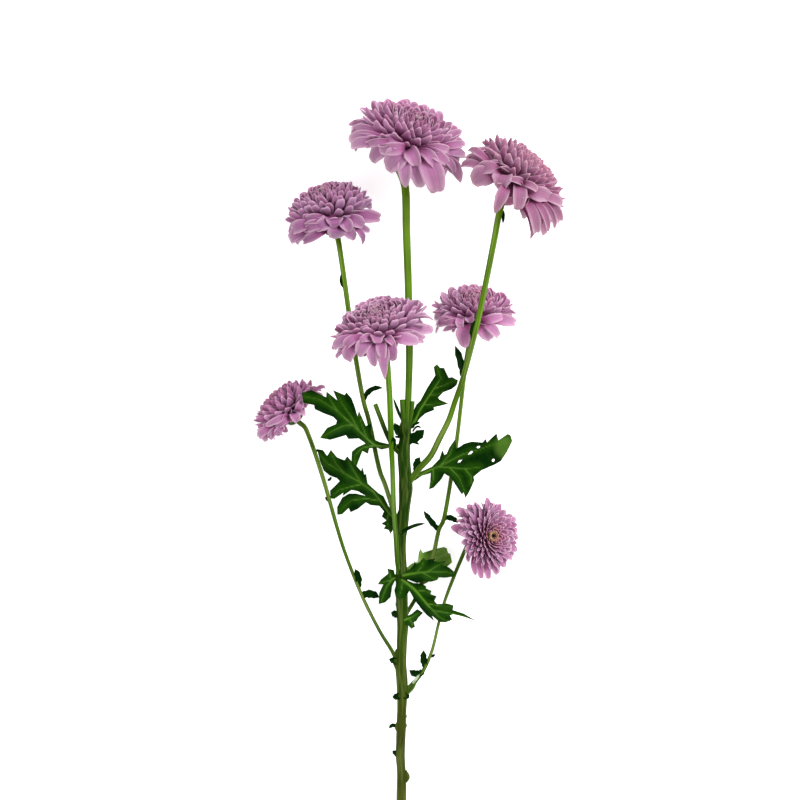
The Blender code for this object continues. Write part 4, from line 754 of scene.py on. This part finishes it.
def strap(start, knee, end, flank, width, widest, cup, notch, taper, curl=0.0, twist=0.0, sway=0.0,
          folds=0.0, vee=1.0, last_leg=None):
    """The form of one ray floret: a scoop that narrows to its foot, with a rounded tip.

    Its middle line bends from start past knee to end, square to flank. Widest is how far along the
    full width is reached, cup how far the edges roll up, curl how far the tip bends in. A notch
    over 0 leaves two points, one under 0 makes a single point; taper narrows the part before the
    tip, vee is how much of the tip the notch takes, and folds raises two low ridges. The tip is
    round over the last leg, which a floret that dips away from the camera gives as it is seen.
    """
    arc = min(LONGEST_TIP, TIP_ROUND * width / (last_leg or (end - knee).length))

    def form(across, along):
        cut = arc * (1 - math.sqrt(1 - TIP_EDGE * across * across))
        cut += (notch * max(0.0, 1 - abs(across) / vee) if notch > 0
                else -POINT_FALL * notch * abs(across) ** 1.5)
        along = 1 - (1 - along) ** ROWS_TO_TIP
        t = along - (0.01 + cut) * along ** 3
        spot = bend(start, knee, end, t)
        way = bend_way(start, knee, end, t)
        upper = way.cross(flank)
        half = width / 2 * (FOOT_WIDTH + (1 - FOOT_WIDTH) * smooth(0.0, widest, t) ** 1.3)
        half *= 1 - taper * smooth(widest, 1.0, along) ** 1.5
        roll = cup * (0.55 + 0.45 * smooth(0.2, 0.8, t))
        bow = half / roll
        side = bow * math.sin(across * roll)
        lift = bow * (1 - math.cos(across * roll)) + curl * width * smooth(0.62, 1.0, t) ** 2
        lift += folds * width * math.cos(2.5 * math.pi * across) * smooth(0.1, 0.4, t)
        turn = twist * smooth(0.0, 0.6, t)
        return (spot + flank * (side * math.cos(turn) - lift * math.sin(turn) + sway * t * t)
                + upper * (lift * math.cos(turn) + side * math.sin(turn)))
    return form


def blend(first, second, share):
    return tuple(a + (b - a) * share for a, b in zip(first, second))


def floret_tint(head, tone, young, bare=0.0):
    """A floret's own tone; bare is how far its dark foot, partly painted shade, is left out, kept as the
    alpha.
    """
    own = blend(linear("#e4c2d8"), linear("#ffffff"), tone)
    head_tint = blend(linear(head["tint"]), linear(head["young_tint"]), young)
    return (*[a * b * head["lighten"] for a, b in zip(own, head_tint)][:3], 1.0 - bare)


def polar(angle, distance):
    return Vector((distance * math.sin(angle), 0, distance * math.cos(angle)))


def above_table(spot):
    """Presses what would sink below the table softly against it."""
    height = spot.z / MM
    if height < PRESSED_FROM:
        room = PRESSED_FROM - PRESSED_TO
        spot.z = (PRESSED_TO + room * math.exp((height - PRESSED_FROM) / room)) * MM
    return spot


def spiral_florets(mould, head, floret_sheet, draw):
    """Florets in spiral rows, upright by the eye and hanging past the widest ring."""
    hang = math.radians(head["hang"])
    count, spread = head["count"], head["spread"]
    turned = head_turn(head)[0]
    set_in_place = head_frame(head)
    eye_edge = (math.asin(head["eye"]) / hang) ** (1 / spread)
    for order in range(count):
        share = eye_edge + (1 - eye_edge) * (order + 0.6) / count
        angle = hang * share ** spread
        spin = Matrix.Rotation(order * GOLDEN_ANGLE + draw.uniform(-0.05, 0.05), 3, "Z")
        room = math.sqrt(2 * math.pi * math.sin(min(angle, math.pi / 2)) * spread * hang
                         / count * share ** (spread - 1))
        # From 0 in the upright rows to 1 in the hanging ones, which are less even.
        lower = smooth(*LOWER_ROWS, angle)
        angle += draw.uniform(-0.03, 0.03) * (1 + 3 * lower)
        reach = dome_reach(angle, head["dome"]) * draw.uniform(0.965 - 0.07 * lower, 1.015)
        faces = (turned @ (spin @ polar(angle, 1.0))).to_2d()
        for x, y, longer, around in head["swells"]:
            reach *= 1 + longer * smooth(0.0, 1.0, faces.dot(Vector((x, y)))) * math.exp(
                -((math.degrees(angle) - around) / SWELL_REACH) ** 2)
        # From 0 on the side that lies on the table to 1 on the side that faces the camera.
        near = smooth(-0.5, 0.1, (turned @ (spin @ Vector((1, 0, 0)))).z)
        # Upright florets lean in to the eye; the lower ones turn out and hang.
        inward = draw.uniform(*head["inward"]) - 42 * lower - 5 * near * (1 - lower)
        start = polar(min(angle * 0.9, math.radians(88)), 0.22)
        knee = polar(angle + math.radians(inward), reach * (0.74 + 0.06 * lower))
        end = polar(angle, reach)
        height = (turned @ (spin @ end)).z
        if angle > math.radians(head["front_rows"]) and height > head["open_from"]:
            continue
        if angle > SIDE_ROWS and -0.3 < height < head["open_from"] + 1:
            continue
        young = 1 - smooth(*YOUNG_ROWS, angle)
        width = room * (head["fill"] + 0.28 * lower) * draw.uniform(0.90, 1.10)
        width *= 1 - 0.20 * near * (1 - lower)
        notch = (draw.uniform(*head["notch"]) - 0.04 - 0.10 * near) * (1 - 0.6 * lower)
        edge_on = (turned @ (spin @ Vector((0, 1, 0)))).z
        form = strap(start, knee, end, Vector((0, 1, 0)), width, widest=0.66,
                     cup=(0.85 - 0.2 * lower) * draw.uniform(0.8, 1.2), notch=notch,
                     taper=0.16 + 0.14 * lower,
                     curl=(0.10 - 0.22 * lower) * draw.uniform(0.3, 1.5),
                     twist=(SIDE_TURN * near - FAR_TURN * (1 - near)) * edge_on
                     + draw.uniform(-0.10, 0.10) * (1 + 2 * lower),
                     sway=draw.uniform(-0.07, 0.07))
        add_sheet(mould, floret_sheet,
                  lambda across, along: above_table(set_in_place @ (spin @ form(across, along))),
                  floret_tint(head, draw.random(), young ** 2, 0.03 * lower))


def hanging_florets(mould, key, head, draw):
    """The florets of HANGING: each leaves the dome at its knee and bends down to its tip."""
    size = head["radius"]
    middle = Vector(head["middle"])
    start = middle - head_turn(head)[1] * size * 0.10
    low, rise = head["knees"]
    broad = sheet(8, 9)
    for out, tip, width, lift, cup, notch in HANGING[key]:
        flat = (seen_at(out, middle.z + size / 2) - middle).to_2d().length / size
        crest = min(low + rise * math.sqrt(max(0.0, 1 - flat * flat)), lift + DEEPEST_DIP)
        knee = seen_at(out, middle.z + size * crest)
        end = knee.lerp(seen_at(tip, middle.z + size * lift), 1 + TIP_MARGIN)
        flank = Vector((knee.y - end.y, end.x - knee.x, 0)).normalized()
        bow = 2 * knee - (start + end) / 2
        form = strap(start, bow, end, flank, width * (1 + EDGE_MARGIN), widest=0.74, cup=cup,
                     notch=notch * 0.8, taper=0.24, curl=draw.uniform(-0.12, 0.05),
                     twist=draw.uniform(-0.25, 0.25), folds=0.016, vee=0.45,
                     last_leg=(end - bow).to_2d().length)
        add_sheet(mould, broad, lambda across, along: above_table(place(form(across, along))),
                  floret_tint(head, draw.random() * 0.6, 0.0, 0.02))


def bloom(key, head, floret_sheet, shade):
    """The ray florets of one head."""
    draw = random.Random(40 + int(key))
    mould = new_mould()
    spiral_florets(mould, head, floret_sheet, draw)
    hanging_florets(mould, key, head, draw)
    piece = finish_piece(f"ray_florets_{key}", mould, [shade], [f"florets_{key}"])
    thicken(piece, 0.2)


def heart_of_bloom(key, head, shade):
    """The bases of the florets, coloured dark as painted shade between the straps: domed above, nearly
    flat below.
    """
    mould = bmesh.new()
    bmesh.ops.create_uvsphere(mould, u_segments=24, v_segments=14, radius=0.42)
    for vert in mould.verts:
        vert.co.z *= head["dome"] * 0.95 if vert.co.z > 0 else 0.12
    mould.transform(head_frame(head))
    finish_piece(f"floret_bases_{key}", mould, [shade], [])


def young_florets(key, head, small_sheet, shade):
    """The eye: short florets that lean in over a small dark hollow."""
    draw = random.Random(70 + int(key))
    set_in_place = head_frame(head)
    dome = head["dome"]
    mould = new_mould()
    for order in range(EYE_HOLLOW, EYE_FLORETS):
        share = order / EYE_FLORETS
        out = head["eye"] * math.sqrt(share)
        top = dome * (0.88 + 0.13 * share)
        spin = Matrix.Rotation(order * GOLDEN_ANGLE, 3, "Z")
        form = strap(Vector((out * 0.9, 0, dome * 0.60)), Vector((out * 1.5, 0, top * 0.92)),
                     Vector((out, 0, top)), Vector((0, 1, 0)),
                     width=0.045 * draw.uniform(0.85, 1.15), widest=0.5, cup=1.5, notch=0.06,
                     taper=0.1, curl=0.35, twist=draw.uniform(-0.3, 0.3))
        add_sheet(mould, small_sheet,
                  lambda across, along: set_in_place @ (spin @ form(across, along)))
    piece = finish_piece(f"young_florets_{key}", mould, [shade], [f"eye_{key}"])
    thicken(piece, 0.2)


def calyx(key, head, shade):
    """The cup under the florets: a smooth seat with two rows of pointed bracts laid on it."""
    set_in_place = head_frame(head) @ Matrix.Translation((0, 0, 0.27 - head["seat"]))
    mould = new_mould()
    small = sheet(4, 5)
    # Each row: how far out and how deep it starts, how far out it bends, and where its tips are.
    rows = ((0.115, 0.25, 0.19, 0.27, -0.085), (0.09, 0.28, 0.17, 0.20, -0.14))
    for row, (inner, depth, knee_out, outer, top) in enumerate(rows):
        start = Vector((inner * 0.8, 0, -depth))
        knee = Vector((knee_out + 0.06, 0, -depth + 0.02))
        end = Vector((outer, 0, top))
        for order in range(CALYX_BRACTS):
            turn = Matrix.Rotation((order + 0.5 * row) * 2 * math.pi / CALYX_BRACTS, 3, "Z")

            def form(across, along):
                spot = bend(start, knee, end, along)
                way = bend_way(start, knee, end, along)
                outward = Vector((way.z, 0, -way.x))
                half = 0.062 * (0.6 + 1.2 * along) * (1 - along) ** 0.5
                spot = spot + outward * (0.012 * row + 0.012 - 0.5 * half * across * across)
                return set_in_place @ (turn @ (spot + Vector((0, 1, 0)) * half * across))
            add_sheet(mould, small, form)
    piece = finish_piece(f"calyx_bracts_{key}", mould, [shade], [f"calyx_{key}"])
    thicken(piece, 0.25)
    mould = bmesh.new()
    bmesh.ops.create_uvsphere(mould, u_segments=20, v_segments=10, radius=1.0)
    mould.transform(Matrix.Translation((0, 0, -0.17)) @ Matrix.Diagonal((0.20, 0.20, 0.10, 1.0)))
    mould.transform(set_in_place)
    finish_piece(f"calyx_seat_{key}", mould, [shade], [])


def stations(points):
    """Points on the smooth curve through a stalk's points, each with its radius."""
    spots = [Vector(point) for point in points]
    padded = [spots[0] * 2 - spots[1]] + spots + [spots[-1] * 2 - spots[-2]]
    route = []
    for i in range(1, len(padded) - 2):
        before, here, there, after = padded[i - 1:i + 3]
        for step in range(ROUTE_STEPS):
            t = step / ROUTE_STEPS
            route.append(0.5 * (2 * here + (there - before) * t
                                + (2 * before - 5 * here + 4 * there - after) * t * t
                                + (3 * here - before - 3 * there + after) * t ** 3))
    route.append(spots[-1])
    return route


def stalk(mould, points, sides, ribs):
    """A ribbed tube through a stalk's points: a sheet wrapped round the route."""
    route = stations(points)
    last = len(route) - 1
    length = sum((there - here).to_3d().length for here, there in zip(route, route[1:]))
    ways = [(route[min(i + 1, last)] - route[max(i - 1, 0)]).to_3d().normalized()
            for i in range(last + 1)]
    side_ways = [ways[0].orthogonal().normalized()]
    for way in ways[1:]:
        side_ways.append((side_ways[-1] - way * side_ways[-1].dot(way)).normalized())

    def form(across, along):
        i = round(along * last)
        angle = (across + 1) * math.pi
        radius = route[i].w * (1 + RIB_HEIGHT * math.cos(ribs * angle))
        round_way = side_ways[i] * math.cos(angle) + ways[i].cross(side_ways[i]) * math.sin(angle)
        return place(route[i].to_3d() + round_way * radius)

    start = len(mould.faces)
    add_sheet(mould, sheet(sides, last), form)
    uv = mould.loops.layers.uv["UVMap"]
    mould.faces.ensure_lookup_table()
    for face in mould.faces[start:]:
        for loop in face.loops:
            loop[uv].uv.y *= length * MAP_PER_MM


def close_tubes(mould):
    """Join each wrapped sheet's two long edges and close its ends."""
    bmesh.ops.remove_doubles(mould, verts=mould.verts[:], dist=0.001 * MM)
    rims = [edge for edge in mould.edges if edge.is_boundary]
    bmesh.ops.holes_fill(mould, edges=rims, sides=24)
    bmesh.ops.recalc_face_normals(mould, faces=mould.faces[:])


def bract(mould, small_sheet, foot, knee, tip, width, cup, toothed):
    """A small pointed leaf from foot to tip, its upper face towards +Z."""
    foot, knee, tip = (place(spot) for spot in (foot, knee, tip))

    def form(across, along):
        spot = bend(foot, knee, tip, along)
        way = bend_way(foot, knee, tip, along)
        upper = (Vector((0, 0, 1)) - way * way.z).normalized()
        half = width * MM * 0.62 * (0.5 + 1.1 * along) * (1 - along) ** 0.6
        half *= 1 + toothed * 0.16 * math.sin(along * 19)
        return (spot + way.cross(upper) * half * across
                + upper * half * cup * (across * across - 0.4))
    add_sheet(mould, small_sheet, form)


def grown_stalk(name, routes, bracts, node, shades, ribs, sides):
    """A stem with its cut side shoots, and a second piece that holds its bracts."""
    mould = new_mould()
    for route in routes:
        stalk(mould, route, sides, ribs)
    close_tubes(mould)
    finish_piece(name, mould, [shades[0]], [node])
    mould = new_mould()
    small = sheet(4, 8)
    for foot, knee, tip, width in bracts:
        bract(mould, small, foot, knee, tip, width, 0.5, width > TOOTHED_FROM)
    piece = finish_piece(f"{name}_bracts", mould, [shades[1]], [])
    thicken(piece, 0.3)


def pale_strips(shade):
    """The paper-like strip under stem 7's lowest bract; the pale strip under leaf B's stalk is a painted
    highlight.
    """
    mould = new_mould()
    small = sheet(4, 8)
    bract(mould, small, (5.2, 71.9, 10.1), (6.8, 74.0, 10.0), (8.4, 76.1, 9.7), 1.3, 0.4, 0)
    # This strip is a painted highlight: a pale sheet where light catches the edge between the stem's
    # bundles.
    bract(mould, small, (-0.2, 127.6, 17.9), (-0.9, 132.0, 18.3), (-1.3, 138.6, 18.6), 0.7, 0.4, 0)
    piece = finish_piece("pale_strips", mould, [shade], [])
    thicken(piece, 0.2)


def nearest(spot, line):
    """How far a flat point lies from a line of points, and how far along the line that is."""
    best, travelled, where = math.inf, 0.0, 0.0
    for here, there in zip(line, line[1:]):
        step = there - here
        t = min(1.0, max(0.0, (spot - here).dot(step) / step.length_squared))
        away = (spot - here - step * t).length
        if away < best:
            best, where = away, travelled + step.length * t
        travelled += step.length
    return best, where / travelled


def height_at(plan, foot, rib, across, spot):
    """How high a leaf lies at a flat point: its arch from foot to tip, and its fold."""
    low, middle, high = plan["heights"]
    share = min(1.1, max(0.0, (spot - foot).dot(rib) / rib.length_squared))
    at = plan["bend_at"]
    return (low * (share - at) * (share - 1) / at
            + middle * share * (share - 1) / (at * (at - 1))
            + high * share * (share - at) / (1 - at)
            + plan["fold"] * abs((spot - foot).dot(across)))


def open_tear(mould, x, y, half_length, half_width, slant):
    """Open a small tear in a flat blade and round its rim."""
    turn = Matrix.Rotation(math.radians(slant), 3, "Z")
    middle = Vector((x, y, 0))

    def share(spot):
        inside = turn.transposed() @ (spot - middle)
        return Vector((inside.x / half_length, inside.y / half_width)).length

    torn = [face for face in mould.faces if share(face.calc_center_median()) < 1]
    bmesh.ops.delete(mould, geom=torn, context="FACES")
    for vert in mould.verts:
        if vert.is_boundary and share(vert.co) < 1.6:
            vert.co = middle + (vert.co - middle) / share(vert.co)


def cut_blade(mould, outline):
    """A flat blade inside an outline, cut to cells that are fine enough to carry its veins."""
    mould.faces.new([mould.verts.new(corner) for corner in outline])
    for axis in (0, 1):
        low = min(corner[axis] for corner in outline)
        high = max(corner[axis] for corner in outline)
        way = Vector((axis == 0, axis == 1, 0))
        for step in range(1, int((high - low) / LEAF_CELL)):
            everything = mould.verts[:] + mould.edges[:] + mould.faces[:]
            bmesh.ops.bisect_plane(mould, geom=everything, dist=0.01,
                                   plane_co=way * (low + step * LEAF_CELL), plane_no=way)
    bmesh.ops.triangulate(mould, faces=mould.faces)


def leaf(key, plan, shades):
    """A lobed blade with its veins, torn and faded where the plan says, and its leaf stalk."""
    outline = [Vector((x, y, 0)) for x, y in plan["outline"]]
    foot = (outline[0] + outline[-1]) / 2
    rib = Vector((*plan["tip"], 0)) - foot
    across = Vector((-rib.y, rib.x, 0)).normalized()
    mould = bmesh.new()
    heart = mould.verts.layers.float.new("heart")
    vein = mould.verts.layers.float.new("vein")
    cut_blade(mould, outline)
    for tear in plan.get("tears", []):
        open_tear(mould, *tear)
    faded_x, faded_y, faded_reach = plan.get("faded", (0, 0, 0.1))
    lines = [[Vector((x, y, 0)) for x, y in line] for line in plan["veins"]]
    for vert in mould.verts:
        flat = vert.co.copy()
        near, mark = math.inf, 0.0
        for order, line in enumerate(lines):
            away, along = nearest(flat, line)
            thick = (MIDRIB if order == 0 else SIDE_VEIN) * (1.0 - 0.5 * along)
            mark = max(mark, math.exp(-(away / thick) ** 2) * (0.95 - 0.6 * along))
            near = min(near, away)
        faded = 1 - smooth(0.45, 1.0, (flat - Vector((faded_x, faded_y, 0))).length / faded_reach)
        vert[vein] = max(mark, 0.6 * faded)
        vert[heart] = 1.0 - smooth(0.3, 3.2, near)
        # Slow waves that are different in each leaf, and the blade raised between its veins.
        ripple = noise.noise(flat * 0.22 + Vector((0, 0, ord(key)))) * 0.9
        quilt = min(near, 1.6) * 0.22
        vert.co = place(Vector((flat.x, flat.y, height_at(plan, foot, rib, across, flat)
                                + ripple * smooth(0.0, 6.0, (flat - foot).length)
                                + quilt - 0.18)))
    bmesh.ops.recalc_face_normals(mould, faces=mould.faces)
    if sum(face.normal.z for face in mould.faces) < 0:
        bmesh.ops.reverse_faces(mould, faces=mould.faces)
    piece = finish_piece(f"leaf_blade_{key}", mould, shades[:2], [f"leaf_{key}"])
    thicken(piece, 0.35, under_slot=1)
    mould = new_mould()
    midrib = lines[0]
    route = []
    for order, spot in enumerate(midrib[:-1]):
        share = order / (len(midrib) - 1)
        height = height_at(plan, foot, rib, across, spot) - 0.35 * smooth(0.1, 0.4, share)
        route.append((spot.x, spot.y, height, 0.85 - 0.65 * smooth(0.0, 0.75, share)))
    stalk(mould, route, 8, 3)
    close_tubes(mould)
    finish_piece(f"leaf_rib_{key}", mould, [shades[2]], [])


def floor_and_light():
    mould = bmesh.new()
    bmesh.ops.create_grid(mould, x_segments=1, y_segments=1, size=3.0)
    mesh = cast(mould, "floor")
    # A lit white table, so that shadows stay faint as in the photograph.
    shade, _ = new_shade("lit_white_table", Roughness=0.95, Base_Color=linear("#f4f4f4"),
                         Emission_Color=linear("#ffffff"), Emission_Strength=0.6)
    mesh.materials.append(shade)
    add_object("floor", mesh)

    world = bpy.data.worlds.new("soft_studio")
    bpy.context.scene.world = world
    world.use_nodes = True
    sky = world.node_tree.nodes["Background"].inputs
    sky["Color"].default_value = linear("#ffffff")
    sky["Strength"].default_value = 0.66
    for name, spot, size, power in (("key", (0.9, 0.6, 1.5), 0.7, 32.5),
                                    ("fill", (-0.9, -0.4, 1.3), 1.2, 8.0)):
        light = bpy.data.lights.new(name, "AREA")
        light.size = size
        light.energy = power
        lamp = add_object(name, light)
        lamp.location = spot
        lamp.rotation_euler = (-Vector(spot)).to_track_quat("-Z", "Y").to_euler()


def camera():
    view = bpy.data.cameras.new("camera")
    view.lens = view.sensor_width * (CAMERA_HEIGHT - STEM_HEIGHT) / IMAGE_WIDTH
    view.clip_end = 20
    eye = add_object("camera", view)
    eye.location = place((*IMAGE_MIDDLE, CAMERA_HEIGHT))
    bpy.context.scene.camera = eye


bpy.context.scene.view_settings.view_transform = "Standard"
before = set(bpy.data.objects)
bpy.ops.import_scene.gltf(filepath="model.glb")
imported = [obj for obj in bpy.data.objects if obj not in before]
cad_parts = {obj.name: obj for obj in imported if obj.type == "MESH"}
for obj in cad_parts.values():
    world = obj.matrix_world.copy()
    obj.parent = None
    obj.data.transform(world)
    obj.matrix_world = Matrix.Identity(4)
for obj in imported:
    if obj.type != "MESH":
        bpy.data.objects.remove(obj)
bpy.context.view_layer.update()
camera()
floor_and_light()

# Floret ramps run from foot to tip: the dark foot is partly painted shade where florets crowd, the pale
# tip partly painted highlight; the last colour is the painted rim highlight.
petal = floret_shade("velvety_mauve_ray_floret",
                     [(0.0, "#983a78"), (0.35, "#a45c8e"), (0.58, "#a7769c"), (0.80, "#ab82a1"),
                      (0.92, "#b893ac"), (1.0, "#d7b4c7")], "#d9b7c9")
young = floret_shade("yellow_green_young_floret",
                     [(0.0, "#56560a"), (0.5, "#7c7424"), (0.8, "#988648"), (1.0, "#b4946c")],
                     "#bc9e76")
closed = floret_shade("closed_grey_mauve_young_floret",
                      [(0.0, "#3d2430"), (0.5, "#75505f"), (0.8, "#94707f"), (1.0, "#b3909c")],
                      "#c0a0aa")
# The floret bases' dark magenta is painted shade for the gaps between the florets.
bases = skin_shade("floret_bases_painted_shade", "#8c3c74", "#a0568c", 0.8, 300.0)
cup_green = skin_shade("calyx_bract_skin", "#1c3d10", "#456a22", 0.55, 400.0)
# One pale skin for the paper-like strip and for the painted highlight strip on the stem.
papery_and_highlight = skin_shade("papery_strip_and_painted_highlight", "#8c9c7c", "#b4c0a8", 0.6, 500.0)
leaf_shades = [leaf_shade("dark_waxy_leaf_top", "#011e01", "#173b02", "#507629", 0.5),
               leaf_shade("matt_leaf_underside", "#2c5018", "#4a7028", "#7d9c58", 0.65),
               stalk_shade("pale_leaf_rib_skin", [(0.0, "#3a6210"), (1.0, "#3a6210")], "#7d9c4c", 0.4)]
# Leaf H's top is a paler copy of the leaf top: painted light, as if lit through from behind.
pale_shades = [leaf_shade("leaf_top_painted_backlight", "#3f6a12", "#6a9038", "#a8c080", 0.5)] + leaf_shades[1:]
# The old wood at the foot is grey-olive, the crown below the heads dark, its top stalk fresh.
stem_green = stalk_shade("woody_olive_stem_skin",
                         [(0.0, "#3c4216"), (0.18, "#363e10"), (0.26, "#2c3c08"), (0.40, "#1a3604"),
                          (0.62, "#163202"), (0.66, "#34580a"), (1.0, "#5b7d16")], "#70823a", 0.32)
side_green = stalk_shade("fresh_green_side_stem_skin",
                         [(0.0, "#26420a"), (0.35, "#2e4a0a"), (0.6, "#3c5a0c"), (1.0, "#4a6c06")],
                         "#83984c", 0.5)
bright_green = stalk_shade("bright_green_side_stem_skin",
                           [(0.0, "#30500a"), (0.46, "#34560a"), (0.60, "#446c06"), (1.0, "#4c7806")],
                           "#84a450", 0.42)
pale_strips(papery_and_highlight)
floret_sheet = sheet(6, 7)
for key, head in HEADS.items():
    bloom(key, head, floret_sheet, petal)
    heart_of_bloom(key, head, bases)
    young_florets(key, head, sheet(2, 5), young if key == "7" else closed)
    calyx(key, head, cup_green)
for key, plan in LEAVES.items():
    leaf(key, plan, pale_shades if key == "H" else leaf_shades)
grown_stalk("main_stalk", [MAIN_STEM + stalk_end(HEADS["1"], 1.7)] + STUBS + SWELLINGS,
            BRACTS["main"], "main_stem", (stem_green, leaf_shades[0]), 6, 18)
for key, route in SIDE_STEMS.items():
    grown_stalk(f"side_stalk_{key}", [route + stalk_end(HEADS[key], route[-1][3] + 0.1)],
                BRACTS[key], f"side_stem_{key}",
                (bright_green if key == "4" else side_green, leaf_shades[0]), 5, 14)
